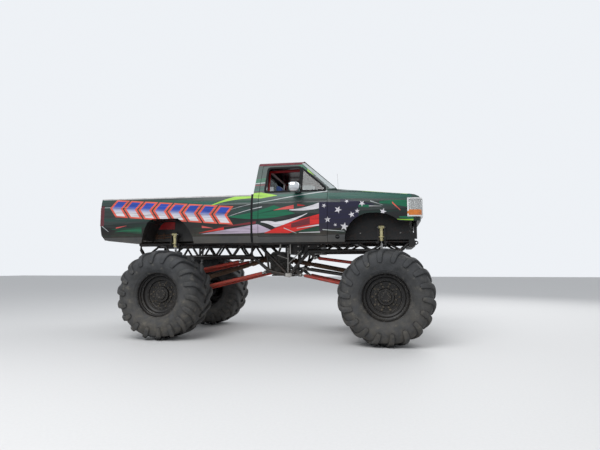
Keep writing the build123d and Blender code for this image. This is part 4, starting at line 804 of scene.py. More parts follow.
def round_axle(centre, along, radius, angle, side):
    """A point given along the axle outwards, at a radius and an angle from the top, forwards."""
    return Vector((centre.x + radius * sin(angle), centre.y + side * along, centre.z + radius * cos(angle)))


def make_tyre(corner, side, body):
    """The carcass with its chevron lugs, which wrap over the shoulders."""
    centre = wheel_place(corner)
    tyre = Shape()
    profile = CARCASS + [(-along, radius) for along, radius in reversed(CARCASS[:-1])]
    tyre.lathe(profile, centre, (0, side, 0), sides=144)
    pitch = 2 * pi / LUGS_PER_SIDE
    for half in (1, -1):
        for number in range(LUGS_PER_SIDE):
            start = (number + (0.5 if half > 0 else 0.0)) * pitch
            rows = []
            for k, (share, along, top, half_width, depth) in enumerate(LUG_PATH):
                before, after = LUG_PATH[max(0, k - 1)], LUG_PATH[min(len(LUG_PATH) - 1, k + 1)]
                fall = Vector((after[1] - before[1], after[2] - before[2])).normalized()
                outward = Vector((-fall.y, fall.x))
                middle = start - share * LUG_SWEEP
                row = []
                for across, down in ((-1.35, 1.0), (-1.08, 0.22), (-0.94, 0.03), (-0.80, 0.0), (0.0, -0.02),
                                     (0.80, 0.0), (0.94, 0.03), (1.08, 0.22), (1.35, 1.0)):
                    sink = Vector((along, top)) - outward * depth * down
                    angle = middle + across * half_width / max(sink.y, 0.3)
                    row.append(round_axle(centre, half * sink.x, sink.y, angle, side))
                rows.append(row if half * side < 0 else row[::-1])
            tyre.skin(rows, caps=True)
    return tyre.piece("tyre_lugged_" + corner, "tyre", body, smooth=55)


RIM = [
    # along the axle outwards, radius: from the tyre side of the lip, round it and down the dish
    (0.262, 0.342), (0.272, 0.354), (0.283, 0.3565), (0.289, 0.352), (0.287, 0.345), (0.276, 0.340),
    (0.262, 0.337), (0.252, 0.331), (0.244, 0.322), (0.226, 0.320), (0.212, 0.318), (0.206, 0.309),
    (0.202, 0.298), (0.186, 0.295), (0.172, 0.292), (0.158, 0.282), (0.150, 0.268), (0.146, 0.252),
    (0.149, 0.243), (0.147, 0.234), (0.138, 0.228), (0.122, 0.224), (0.116, 0.216), (0.114, 0.160),
]
INNER_BARREL = [(-0.289, 0.350), (-0.285, 0.3565), (-0.272, 0.352), (-0.262, 0.342), (-0.250, 0.322),
                (0.110, 0.316), (0.118, 0.300)]
HUB = [
    (0.100, 0.172), (0.122, 0.172), (0.128, 0.168), (0.128, 0.132), (0.136, 0.126), (0.158, 0.122),
    (0.166, 0.116), (0.166, 0.088), (0.172, 0.084), (0.182, 0.080), (0.186, 0.074), (0.186, 0.050),
    (0.180, 0.046), (0.178, 0.0005),
]
HUB_BACK = [(-0.138, 0.066), (-0.140, 0.140), (-0.134, 0.148), (-0.030, 0.150), (-0.020, 0.160),
            (0.104, 0.170)]


def make_wheel(corner, side, body):
    """A deep-dished steel wheel on a planetary hub."""
    centre = wheel_place(corner)
    axis = (0, side, 0)
    wheel = Shape()
    for profile in (RIM, INNER_BARREL, HUB, HUB_BACK):
        wheel.lathe(profile, centre, axis, sides=96)
    wheel.lathe([(-0.138, 0.066), (0.060, 0.066), (0.062, 0.0005)], centre, axis, sides=48)
    made = wheel.piece("dished_wheel_" + corner, "wheel_black", body, smooth=32)
    bolts = Shape()
    for count, radius, along, size in ((12, 0.152, 0.128, 0.011), (10, 0.196, 0.115, 0.013),
                                       (6, 0.064, 0.186, 0.007)):
        places = [round_axle(centre, along, radius, a, side) for a in turns(count, 0.5)]
        bolts.hexes(places, axis, size, size * 1.1)
    bolts.piece("wheel_bolts_" + corner, "wheel_black", body, DARK_STEEL, smooth=30)
    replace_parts(made, "wheel_" + corner)


for corner, (side, body) in CORNERS.items():
    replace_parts(make_tyre(corner, side, body), "tyre_" + corner)
    make_wheel(corner, side, body)


# Frame: round tubes with welded joints
RAIL_Y, RAIL_RADIUS, WEB_RADIUS = 0.450, 0.0285, 0.019
RAIL_TOP, RAIL_FOOT = 1.560, 1.330
ELBOW, LEG_TOP = (0.445, 1.005), (0.790, 1.420)
FRAME_RUN = [
    (2.430, 1.560), (-2.300, 1.560), (-2.290, 1.455), (-2.235, 1.370), (-2.120, 1.330), (-0.190, 1.330),
    (0.100, 1.090), ELBOW, LEG_TOP, (2.300, 1.420),
]
BRACES = [((-0.100, 1.560), ELBOW), ((2.300, 1.420), (2.430, 1.530))]
WEBS = [((-1.890, 1.560), (-2.165, 1.346)), ((-1.840, 1.560), (-1.690, 1.330)),
        ((-1.550, 1.560), (-1.550, 1.330)), ((-1.335, 1.560), (-1.470, 1.330)),
        ((-1.335, 1.560), (-1.185, 1.330)), ((-0.205, 1.560), (-0.205, 1.330)),
        ((0.060, 1.397), (0.100, 1.090)), ((0.330, 1.560), (0.215, 1.239)), ((0.445, 1.560), ELBOW),
        ((0.700, 1.560), (0.620, 1.215)), ]
SHOCKS = [
    # place along the truck, height of the upper eye
    (2.000, 1.785),
    (-1.550, 1.715),
]
SHOCK_HEAD_Y, SHOCK_FOOT_Y, SHOCK_FOOT_Z = 0.650, 0.470, 0.835
BODY_MOUNTS = (-2.050, -0.800, 0.300, 1.100)
CROSS_TUBES = [
    # along, height, how near to the middle it comes
    (-2.240, 1.560, 0), (-1.900, 1.330, 0), (-1.100, 1.330, 0), (-0.420, 1.330, 0), (0.100, 1.090, 0.180),
    (0.300, 1.1527, 0.180), (0.445, 1.005, 0), (0.540, 1.1193, 0), (0.790, 1.420, 0), (2.300, 1.420, 0),
]


def zigzag(start, end, foot, count):
    """Web tubes that run up and down between a lower rail and the top one."""
    step = (end - start) / count
    rows = []
    for i in range(count):
        ends = (foot, RAIL_TOP) if i % 2 == 0 else (RAIL_TOP, foot)
        rows.append(((start + step * i, ends[0]), (start + step * (i + 1), ends[1])))
    return rows


def weld_bead(shape, end, other, radius, reach):
    """A bead round a tube, a reach in from its end, where it meets the tube that carries it."""
    along = (Vector(other) - Vector(end)).normalized()
    profile = [(-0.007, radius - 0.001), (-0.003, radius + 0.004), (0.003, radius + 0.0035),
               (0.007, radius - 0.001)]
    shape.lathe(profile, Vector(end) + along * reach, along, 16)


def welded_tube(shape, start, end, radius, reach, sides=14, both=True):
    """A tube with a weld bead at its start, and one at its end."""
    shape.tube([start, end], radius, sides)
    weld_bead(shape, start, end, radius, reach)
    if both:
        weld_bead(shape, end, start, radius, reach)


BOLT_ROWS = [
    # places along, out and up, the way they point, radius, height
    (BODY_MOUNTS, (RAIL_Y,), (1.531,), (0, 0, -1), 0.012, 0.012),
    ((0.42, 0.60, 0.78, 0.94), (0.400,), (1.500, 1.415), (0, 1, 0), 0.011, 0.010),
    ((2.520,), (0.300, 0.440), (1.500, 1.585, 1.670), (1, 0, 0), 0.012, 0.011),
    ((1.34, 1.66, 1.98, 2.30), (0.520,), (1.70, 2.05), (0, 1, 0), 0.008, 0.008),
]


def make_frame():
    """Both side trusses, with the shock towers and body mounts."""
    frame_tubes = Shape()
    frame_tubes.tube([(x, RAIL_Y, z) for x, z in FRAME_RUN], RAIL_RADIUS, 20)
    for (x0, z0), (x1, z1) in BRACES:
        welded_tube(frame_tubes, (x0, RAIL_Y, z0), (x1, RAIL_Y, z1), RAIL_RADIUS, 0.044, 20, both=False)
    webs = WEBS + zigzag(-1.185, -0.245, RAIL_FOOT, 6) + zigzag(0.890, 2.300, LEG_TOP[1], 6)
    for (x0, z0), (x1, z1) in webs:
        welded_tube(frame_tubes, (x0, RAIL_Y, z0), (x1, RAIL_Y, z1), WEB_RADIUS, 0.034)
    for x, head in SHOCKS:
        for way in (1, -1):
            along = x + way * 0.070
            ends = [(along, y, 1.545) for y in (RAIL_Y, SHOCK_HEAD_Y)]
            welded_tube(frame_tubes, *ends, WEB_RADIUS, 0.030, both=False)
            low, high = 1.510, head + 0.035
            outline = [(SHOCK_HEAD_Y + out, z)
                       for out, z in ((0.035, low), (0.0175, high), (-0.0175, high), (-0.035, low))]
            plate = [(x + way * 0.046, p.x, p.y) for p in rounded(outline, 0.014, 4)]
            frame_tubes.slab(plate, (way * 0.012, 0, 0), 0.0015)
    for x in BODY_MOUNTS:
        frame_tubes.block((x - 0.050, RAIL_Y - 0.025, 1.560), (x + 0.050, RAIL_Y + 0.025, 1.582))
        frame_tubes.lathe([(0, 0.020), (0.002, 0.024), (0.016, 0.024), (0.018, 0.020)], (x, RAIL_Y, 1.582),
                          (0, 0, 1), 20, caps=True)
    made = frame_tubes.mirrored().piece("frame_tubes", "chassis_black", smooth=50)
    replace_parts(made, "frame_trusses")

    across = Shape()
    for x, z, inner in CROSS_TUBES:
        across.tube([(x, inner, z), (x, RAIL_Y - RAIL_RADIUS * 0.9, z)], WEB_RADIUS + 0.0008, 16)
        weld_bead(across, (x, RAIL_Y, z), (x, 0, z), WEB_RADIUS, RAIL_RADIUS + 0.004)
    across.mirrored().piece("cross_tubes", "chassis_black", smooth=50)

    braces = Shape()
    for (x0, z0), (x1, z1) in (((0.437, 1.060), (0.437, 1.475)), ((0.452, 1.210), (0.664, 1.425)),
                               ((0.258, 1.352), (0.446, 1.286))):
        braces.tube([(x0, 0.474, z0), (x1, 0.474, z1)], 0.0095, 10)
    for x, low, high in ((0.475, 1.372, 1.552), (0.301, 1.470, 1.556)):
        braces.block((x - 0.011, 0.470, low), (x + 0.011, 0.474, high), 0.001)
    braces.mirrored().piece("bare_struts", "shock_steel", material=BARE_STEEL)

    # Brackets that carry the shocks' feet, welded to the axle tubes
    feet = Shape()
    for (x, head), tube_front in zip(SHOCKS, AXLES_X):
        feet.block((x - 0.036, 0.430, 0.655), (tube_front - 0.050, 0.510, 0.768), 0.004)
        for way in (1, -1):
            feet.hexes([(x + way * 0.035, SHOCK_FOOT_Y, SHOCK_FOOT_Z)], (way, 0, 0), 0.014, 0.014)
    feet.mirrored().piece("shock_feet", "chassis_black")

    fixings = Shape()
    for along, out, up, axis, radius, height in BOLT_ROWS:
        fixings.hexes([(x, y, z) for x in along for z in up for y in out], axis, radius, height)
    for a in turns(12):
        for x in AXLES_X:
            fixings.hexes([(x + 0.166 * cos(a), 0.110, AXLE_Z + 0.166 * sin(a))], (0, 1, 0), 0.009, 0.009)
    fixings.mirrored().piece("frame_bolts", "shock_steel", material=BARE_STEEL, smooth=30)


make_frame()


# Links, shocks and shafts
LINKS = [
    # frame eye, axle eye, distance from the middle, slot
    ((0.640, 1.020), (1.915, 0.750), 0.380, "link_red"),
    ((0.655, 1.126), (1.950, 0.925), 0.220, "chassis_black"),
    ((0.870, 1.310), (1.980, 1.160), 0.300, "link_red"),
    ((0.020, 1.062), (-1.365, 0.735), 0.380, "link_red"),
    ((-0.430, 1.262), (-1.440, 1.050), 0.300, "link_red"),
]


def make_links():
    """Suspension links: tubes with threaded rod ends, jam nuts and through bolts."""
    bars = {"link_red": Shape(), "chassis_black": Shape()}
    ends = Shape()
    for (x0, z0), (x1, z1), y, slot in LINKS:
        a, b = Vector((x0, y, z0)), Vector((x1, y, z1))
        length = (b - a).length
        bars[slot].lathe([(0.060, 0.012), (0.061, 0.019), (0.068, 0.0265), (length - 0.068, 0.0265),
                          (length - 0.061, 0.019), (length - 0.060, 0.012)], a, b - a, 24)
        for eye, along in ((a, b - a), (b, a - b)):
            ends.lathe([(0.020, 0.013), (0.062, 0.013)], eye, along, 16)
            ends.lathe([(0.048, 0.013), (0.0485, 0.021), (0.059, 0.021), (0.0595, 0.013)], eye, along, 6)
            ends.lathe(both_ways([(-0.022, 0.012), (-0.022, 0.024), (-0.017, 0.030)]), eye, (0, 1, 0), 28)
            for way in (1, -1):
                ends.hexes([eye + Vector((0, way * 0.034, 0))], (0, way, 0), 0.013, 0.012)
    made = bars["link_red"].mirrored().piece("link_tubes", "link_red")
    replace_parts(made, "link_bars")
    bars["chassis_black"].mirrored().piece("black_link_tubes", "chassis_black")
    ends.mirrored().piece("rod_ends", "shock_steel", material=BARE_STEEL, smooth=30)


def make_shocks():
    """Long gas shocks: cream bodies with a clamped collar, plated rods and eyes with bushes."""
    bodies, rods = Shape(), Shape()
    for x, head in SHOCKS:
        a, b = Vector((x, SHOCK_HEAD_Y, head)), Vector((x, SHOCK_FOOT_Y, SHOCK_FOOT_Z))
        length = (b - a).length
        bodies.lathe([(0.014, 0.014), (0.016, 0.022), (0.022, 0.027), (0.060, 0.027), (0.062, 0.0255),
                      (0.066, 0.0255), (0.068, 0.027), (0.148, 0.027), (0.149, 0.040), (0.152, 0.044),
                      (0.162, 0.044), (0.165, 0.040), (0.166, 0.031), (0.204, 0.031), (0.206, 0.028),
                      (0.211, 0.028), (0.213, 0.031), (0.218, 0.031), (0.220, 0.026), (0.220, 0.018)], a,
                     b - a, 36)
        bodies.lathe(both_ways([(-0.045, 0.012), (-0.045, 0.020), (-0.041, 0.024)]), a, (1, 0, 0), 28)
        rods.lathe([(0.215, 0.0185), (length - 0.060, 0.0185), (length - 0.058, 0.0225),
                    (length - 0.020, 0.0225), (length - 0.016, 0.016)], a, b - a, 28)
        rods.lathe(both_ways([(-0.0225, 0.012), (-0.0225, 0.020), (-0.019, 0.024)]), b, (1, 0, 0), 28)
        for way in (1, -1):
            rods.hexes([a + Vector((way * 0.058, 0, 0))], (way, 0, 0), 0.014, 0.014)
    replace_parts(bodies.mirrored().piece("shock_tubes", "shock_gold"),
                "shock_bodies")
    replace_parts(rods.mirrored().piece("shock_rods", "shock_steel", smooth=30),
                "shock_shafts")


def make_shafts():
    """Driveshafts with flanged joints, a slip joint and balance weights."""
    shafts = Shape()
    for a, b in (((0.350, 0, 1.280), (AXLES_X[0], 0, 0.960)), ((0.050, 0, 1.320), (AXLES_X[1], 0, 0.870))):
        a, b = Vector(a), Vector(b)
        far = (b - a).length - 0.300
        shafts.lathe([(0.070, 0.010), (0.070, 0.060), (0.082, 0.060), (0.083, 0.030), (0.108, 0.030),
                      (0.112, 0.046), (0.158, 0.046), (0.162, 0.032), (0.176, 0.034), (0.186, 0.040),
                      (0.330, 0.040), (0.334, 0.045), (0.400, 0.045), (0.404, 0.034), (0.470, 0.034),
                      (0.474, 0.040), (far - 0.116, 0.040), (far - 0.106, 0.034), (far - 0.092, 0.032),
                      (far - 0.088, 0.046), (far - 0.042, 0.046), (far - 0.038, 0.030), (far - 0.013, 0.030),
                      (far - 0.012, 0.060), (far, 0.060), (far, 0.010)], a, b - a, 32)
        along = (b - a).normalized()
        for at in (0.135, far - 0.065):
            middle = a + along * at
            upward = along.cross(Vector((0, 1, 0)))
            for way in (Vector((0, 1, 0)), upward):
                shafts.lathe(both_ways([(-0.052, 0.008), (-0.052, 0.016)]), middle, way, 20)
    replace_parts(shafts.piece("drive_shafts", "shaft_rust"), "driveshafts")


def make_case():
    """Covers, ribs and a shift box on the transfer case."""
    case = Shape()
    for x, z, radius in ((0.150, 1.300, 0.075), (0.250, 1.190, 0.090), (0.200, 1.090, 0.050)):
        case.lathe([(-0.004, radius), (0.012, radius), (0.016, radius - 0.006), (0.016, radius * 0.55),
                    (0.028, radius * 0.45), (0.028, 0.0005)], (x, 0.180, z), (0, 1, 0), 36)
        places = [(x + (radius - 0.011) * cos(a), 0.194, z + (radius - 0.011) * sin(a))
                  for a in turns(8)]
        case.hexes(places, (0, 1, 0), 0.006, 0.007)
    for x in (0.085, 0.330):
        case.block((x - 0.006, 0.150, 1.090), (x + 0.006, 0.190, 1.360), 0.002)
    case.block((0.150, 0.196, 1.050), (0.262, 0.232, 1.150), 0.006)
    case.mirrored().piece("gearbox_covers", "case_grey", smooth=35)


make_links()
make_shocks()
make_shafts()
make_case()


# Cab: cage, glass seals, mirrors, wipers and steering wheel
CAGE_RADIUS = 0.022
HOOP = [(0.150, 0.720, 1.634), (0.150, 0.720, 2.360), (0.150, 0.625, 2.735), (0.150, 0.560, 2.765)]
CAGE_RAIL = [(0.150, 0.590, 2.762), (0.660, 0.600, 2.768), (0.745, 0.625, 2.730), (1.100, 0.790, 2.375),
             (1.125, 0.800, 2.330), (1.125, 0.800, 1.634)]


def make_cage():
    """The main hoop and both forward rails, bent round, with welded feet."""
    cage = Shape()
    cage.tube(HOOP + [(x, -y, z) for x, y, z in reversed(HOOP)], CAGE_RADIUS, 20)
    rails = Shape()
    rails.tube(CAGE_RAIL, CAGE_RADIUS, 20)
    for x, y in ((0.150, 0.720), (1.125, 0.800)):
        rails.block((x - 0.045, y - 0.045, 1.634), (x + 0.045, y + 0.045, 1.641), 0.002)
        weld_bead(rails, (x, y, 1.641), (x, y, 2.0), CAGE_RADIUS, 0.002)
    cage.join(rails.mirrored())
    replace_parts(cage.piece("cage_tubes", "cage_red", smooth=50), "roll_cage")


def window_seal(name, corners, radius, side, body):
    """A black rubber frame round a side window's opening."""
    outer = rounded(inset(corners, -0.018), radius * 1.2, 6)
    middle = rounded(inset(corners, -0.006), radius * 1.1, 6)
    inner = rounded(inset(corners, 0.014), radius, 6)
    seal = Shape()
    rows = []
    for ring, out in ((outer, 0.0005), (middle, 0.0055), (inner, 0.0045), (inner, -0.012)):
        rows.append([cab_side(p.x, p.y, side, out) for p in ring])
    if side > 0:
        rows = [row[::-1] for row in rows]
    seal.skin(rows, closed=True)
    return seal.piece(name, "trim", body, RUBBER_TRIM)


def screen_point(across, share, out):
    """A point on the windscreen: across the truck, up from its foot as a share, and out along its normal."""
    foot, head = Vector((SCREEN_FOOT[0], 0, SCREEN_FOOT[1])), Vector((SCREEN_HEAD[0], 0, SCREEN_HEAD[1]))
    normal = (head - foot).cross(Vector((0, 1, 0))).normalized()
    if normal.x < 0:
        normal = -normal
    return foot.lerp(head, share) + Vector((0, across, 0)) + normal * out


def make_screen_trim():
    """The windscreen's rubber surround, its wipers and the aerial."""
    trim = Shape()
    rows = []
    for grow, out in ((0.012, 0.001), (0.006, 0.007), (-0.020, 0.006), (-0.022, 0.000)):
        ring = rounded([(0.915 + grow, -grow / 0.737), (0.755 + grow, 1 + grow / 0.737),
                        (-0.755 - grow, 1 + grow / 0.737), (-0.915 - grow, -grow / 0.737)], 0.060, 6)
        rows.append([screen_point(p.x, p.y, out) for p in ring])
    trim.skin(rows, closed=True)
    trim.piece("screen_seal", "trim", material=RUBBER_TRIM)

    # The screen's glass wraps onto the pillars as a pale strip: opaque pale plastic, a painted reflection of
    # the sky on that glass
    corner = Shape()
    foot, head, steps = Vector((1.300, 2.392)), Vector((0.785, 2.852)), 12
    for side in (1, -1):
        rows = []
        for step in range(steps + 1):
            at = foot.lerp(head, step / steps)
            width = 0.082 - 0.030 * step / steps
            rows.append([cab_side(at.x - width * share, at.y - width * 0.10 * share, side, out) for share,
                         out in ((0.0, 0.0055), (0.15, 0.0055), (0.5, 0.0055), (0.85, 0.0055),
                                 (1.0, 0.0035))])
        corner.skin(rows if side < 0 else [row[::-1] for row in rows])
    corner.piece("screen_corner_reflection", "glass", material=CORNER_GLASS_REFLECTION)

    wipers = Shape()
    for pivot, tip in ((-0.42, -0.80), (0.36, -0.10)):
        wipers.lathe([(0, 0.016), (0.012, 0.016), (0.018, 0.011)], (1.335, pivot, 2.374), (0.3, 0, 1), 18,
                     caps=True)
        arm = [Vector((1.335, pivot, 2.392)), screen_point(pivot * 0.7 + tip * 0.3, 0.06, 0.020),
               screen_point((pivot + tip) / 2, 0.10, 0.016)]
        wipers.tube(arm, 0.0045, 8)
        blade = [screen_point(pivot * 0.86 + tip * 0.14, 0.060, 0.009), screen_point(tip, 0.135, 0.009)]
        wipers.tube(blade, 0.0050, 8)
        wipers.tube([p + Vector((0.004, 0, 0.005)) for p in blade], 0.0035, 8)
    wipers.piece("wipers", "trim", material=RUBBER_TRIM)

    aerial = Shape()
    aerial.lathe([(-0.004, 0.016), (0.006, 0.015), (0.012, 0.008), (0.030, 0.005)], (1.330, -0.800, 2.378),
                 (0, 0, 1), 20, caps=True)
    aerial.tube([(1.330, -0.800, 2.400), (1.318, -0.800, 2.640)], 0.0018, 8)
    aerial.lathe([(-0.003, 0.001), (-0.002, 0.0035), (0.002, 0.0035), (0.003, 0.001)],
                 (1.318, -0.800, 2.641), (0, 0, 1), 12, caps=True)
    aerial.piece("aerial", "shock_steel", material=BARE_STEEL)


MIRROR_Z = 2.390
MIRROR_RINGS = [
    # out from the middle, half length, half height, place along the truck
    (1.030, 0.030, 0.026, 0.690), (1.034, 0.055, 0.050, 0.690), (1.050, 0.074, 0.068, 0.690),
    (1.090, 0.083, 0.077, 0.690), (1.150, 0.084, 0.079, 0.688), (1.205, 0.080, 0.077, 0.684),
    (1.228, 0.066, 0.066, 0.676), (1.238, 0.044, 0.046, 0.668), (1.240, 0.020, 0.022, 0.664),
]


def make_mirror(word, side):
    """A rounded chrome mirror head on a folded arm, with its glass facing back."""
    head = Shape()
    rows = []
    for y, half_x, half_z, centre_x in MIRROR_RINGS:
        row = []
        for a in turns(40):
            c, s = cos(a), sin(a)
            along = half_x * abs(c) ** (0.62 if c > 0 else 0.42) * (1 if c > 0 else -1)
            up = half_z * abs(s) ** 0.58 * (1 if s > 0 else -1)
            droop = 0.16 * max(0, half_x * c) * (1 if s > 0 else 0)
            row.append((centre_x + along, side * y, MIRROR_Z + up - droop))
        rows.append(row if side < 0 else row[::-1])
    head.skin(rows, closed=True, caps=True)
    made = head.piece("mirror_head_" + word, "chrome", word + "_door", smooth=50)
    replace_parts(made, "mirror_" + word)
    back = Shape()
    outline = rounded(rectangle(1.060, 2.330, 1.205, 2.450), 0.022, 5)
    back.slab([(0.6075, side * p.x, p.y) for p in outline], (-0.003, 0, 0), 0.001)
    glass = polished("Mirror glass " + word, (0.70, 0.72, 0.74), 0.02)
    back.piece("mirror_glass_" + word, "chrome", word + "_door", glass)
    arm = Shape()
    arm.tube([(0.700, side * 0.930, 2.335), (0.700, side * 0.975, 2.342), (0.695, side * 1.060, 2.352)],
             0.015, 14)
    plate = rounded([(0.645, 2.318), (0.760, 2.318), (0.745, 2.366), (0.655, 2.366)], 0.014, 5)
    arm.slab([cab_side(p.x, p.y, side, -0.004) for p in plate], (0, side * 0.012, 0), 0.003)
    arm.piece("mirror_arm_" + word, "trim", word + "_door", RUBBER_TRIM)


def make_steering_wheel():
    """A three-spoke wheel on its column."""
    centre, foot = Vector((0.850, 0.380, 2.270)), Vector((1.120, 0.380, 2.160))
    axis = (foot - centre).normalized()
    turned = axis.to_track_quat("Z", "Y")

    def on_wheel(angle, radius, along=0.0):
        return centre + turned @ Vector((radius * cos(angle), radius * sin(angle), along))

    wheel = Shape()
    wheel.tube([on_wheel(a, 0.164) for a in turns(48)], 0.0135, 12, closed=True)
    wheel.lathe([(-0.014, 0.010), (-0.016, 0.030), (-0.006, 0.040), (0.014, 0.040), (0.022, 0.030),
                 (0.022, 0.022), ((foot - centre).length, 0.026)], centre, axis, 28, caps=True)
    for angle in (radians(90), radians(210), radians(330)):
        for off in (-0.016, 0.016):
            wheel.tube([on_wheel(angle + off * 6, 0.034, 0.004), on_wheel(angle + off, 0.160, 0.0)], 0.0055,
                       8)
    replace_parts(wheel.piece("steering_rim", "trim"), "steering_wheel")


make_cage()
make_screen_trim()
make_steering_wheel()
for word, side in SIDES.items():
    window_seal("door_seal_" + word, DROP_WINDOW, 0.050, side, word + "_door")
    window_seal("quarter_seal_" + word, QUARTER_WINDOW, 0.020, side, word + "_door")
    make_mirror(word, side)


# Lamps and grille
LAMP_PATH = [
    # from the lamp's inner end round the front corner to its rear end
    (2.630, 0.592), (2.630, 0.700), (2.630, 0.800), (2.629, 0.860), (2.622, 0.915), (2.606, 0.958),
    (2.580, 0.984), (2.545, 0.998), (2.500, 1.003), (2.450, 1.003), (2.393, 1.003),
]
LAMP_LOW, LAMP_HIGH = 1.906, 2.194


def lamp_rows(section, first=0):
    """A section of (outwards, height) carried round the lamp's plan."""
    path = [Vector(p) for p in LAMP_PATH]
    rows = []
    for i, point in enumerate(path):
        ahead = path[min(i + 1, len(path) - 1)] - path[max(i - 1, 0)]
        outward = Vector((ahead.y, -ahead.x)).normalized()
        place = [point + outward * out for out, height in section]
        rows.append([(p.x, p.y, height) for p, (out, height) in zip(place, section)])
    return rows[first:]


def make_headlamps():
    """Wrapped lamps: a pale bezel round a clear lens, a bright bowl behind and an amber strip."""
    low, high = LAMP_LOW, LAMP_HIGH
    bezel = Shape()
    for top, bottom in ((high, high - 0.020), (low + 0.020, low)):
        section = [(0.0, bottom), (0.001, top), (-0.060, top), (-0.060, bottom)]
        bezel.skin(lamp_rows(section), closed=True, caps=True)
    upright = [(0.0, low), (0.0, high), (-0.060, high), (-0.060, low)]
    for end, step in zip((lamp_rows(upright)[0], lamp_rows(upright)[-1]), ((0, 0.018, 0), (0.020, 0, 0))):
        step = Vector(step)
        bezel.skin([end, [Vector(p) + step for p in end]], closed=True, caps=True)
    made = bezel.mirrored().piece("headlamp_bezels", "lamp_lens", material=PALE_BEZEL)
    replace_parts(made, "headlamps")
    bowl = Shape()
    section = [(-0.090, low + 0.004), (-0.090, high - 0.004), (-0.030, high - 0.018), (-0.058, high - 0.060),
               (-0.064, (low + high) / 2), (-0.058, low + 0.060), (-0.030, low + 0.018)]
    bowl.skin(lamp_rows(section), closed=True, caps=True)
    bowl.mirrored().piece("headlamp_bowls", "chrome", material=LAMP_BOWL)
    lens = Shape()
    section = [(-0.008, high - 0.018), (-0.003, high - 0.050), (-0.001, (low + high) / 2),
               (-0.003, low + 0.050), (-0.008, low + 0.018)]
    back = [(out - 0.005, height) for out, height in reversed(section)]
    lens.skin(lamp_rows(section + back), closed=True, caps=True)
    lens.mirrored().piece("headlamp_lenses", "lamp_lens")
    amber = Shape()
    section = [(-0.0005, low + 0.105), (0.0005, low + 0.064), (-0.0005, low + 0.022), (-0.012, low + 0.022),
               (-0.012, low + 0.105)]
    amber.skin(lamp_rows(section, 5), closed=True, caps=True)
    amber.mirrored().piece("headlamp_amber", "lamp_lens", material=AMBER_LENS)
    ribs = Shape()
    rows = lamp_rows([(-0.0002, low + 0.020), (-0.0002, high - 0.020), (-0.010, high - 0.020),
                      (-0.010, low + 0.020)])
    for part in (3, 6, 8):
        ribs.skin([rows[part], [Vector(p) + Vector((0.003, -0.003, 0)) for p in rows[part]]], closed=True,
                  caps=True)
    ribs.mirrored().piece("headlamp_ribs", "lamp_lens", material=PALE_BEZEL)


def make_grille():
    """Fine slats across the grille, and the radiator's fins and tanks behind it."""
    slats = Shape()
    for i in range(13):
        z = 1.945 + i * 0.0175
        slats.slab([(2.569, -0.555, z), (2.588, -0.555, z - 0.003), (2.588, 0.555, z - 0.003),
                    (2.569, 0.555, z)], (0, 0, 0.0045), 0.001)
    slats.piece("grille_slats", "grille_plastic")
    fins = Shape()
    for i in range(30):
        z = 1.722 + i * 0.0142
        fins.block((2.474, -0.455, z), (2.479, 0.455, z + 0.003), 0.0008)
    for side in (1, -1):
        fins.block((2.436, side * 0.480 - 0.022, 1.705), (2.482, side * 0.480 + 0.022, 2.146), 0.006)
    fins.piece("radiator_fins", "case_grey")


make_headlamps()
make_grille()


# Bed and body details
def make_bed_details():
    """The black strip between cab and bed, floor ribs, a tailgate pressing, lamp bars and tailgate handle.
    """
    strip = Shape()
    outline = [(0.955, 1.550), (0.990, 1.640), (1.001, 1.800), (1.002, 2.150), (0.980, 2.270),
               (0.960, 2.330), (0.880, 2.330), (0.880, 1.550)]
    strip.slab([(-0.0700, y, z) for y, z in outline], (0.0340, 0, 0), 0.001)
    strip.mirrored().piece("bed_gap_strips", "trim", material=RUBBER_TRIM)

    ribs = Shape()
    for i in range(9):
        y = -0.44 + i * 0.11
        ribs.block((-2.670, y - 0.020, 1.637), (-0.125, y + 0.020, 1.647), 0.004)
    ribs.piece("bed_floor_ribs", "bed_liner")

    handle = Shape()
    plate = rounded(rectangle(-0.130, 2.170, 0.130, 2.260), 0.020, 5)
    handle.slab([(-2.757, p.x, p.y) for p in plate], (-0.006, 0, 0), 0.002)
    handle.tube([(-2.766, -0.070, 2.222), (-2.772, -0.060, 2.212), (-2.772, 0.060, 2.212),
                 (-2.766, 0.070, 2.222)], 0.008, 12)
    handle.piece("tailgate_handle", "trim", "tail_gate", RUBBER_TRIM)
    panel = Shape()
    corners = rectangle(-0.800, 1.740, 0.800, 2.130)
    frame_outer, frame_inner = rounded(corners, 0.050, 6), rounded(inset(corners, 0.024), 0.040, 6)
    rows = []
    for ring, back in ((frame_outer, 0.0), (frame_outer, 0.0045), (frame_inner, 0.0045), (frame_inner, 0.0)):
        rows.append([(-2.7585 + (2.200 - p.y) * 0.0145 - back, p.x, p.y) for p in ring])
    panel.skin(rows, closed=True)
    panel.piece("tailgate_pressing", "body_paint", "tail_gate")

    bars = Shape()
    for z in (1.860, 1.945, 2.030, 2.115, 2.190):
        bars.block((-2.7635, 0.908, z - 0.003), (-2.690, 0.999 - max(0, z - 2.165) * 0.3, z + 0.003), 0.001)
    bars.mirrored().piece("tail_lamp_bars", "trim", material=RUBBER_TRIM)


make_bed_details()


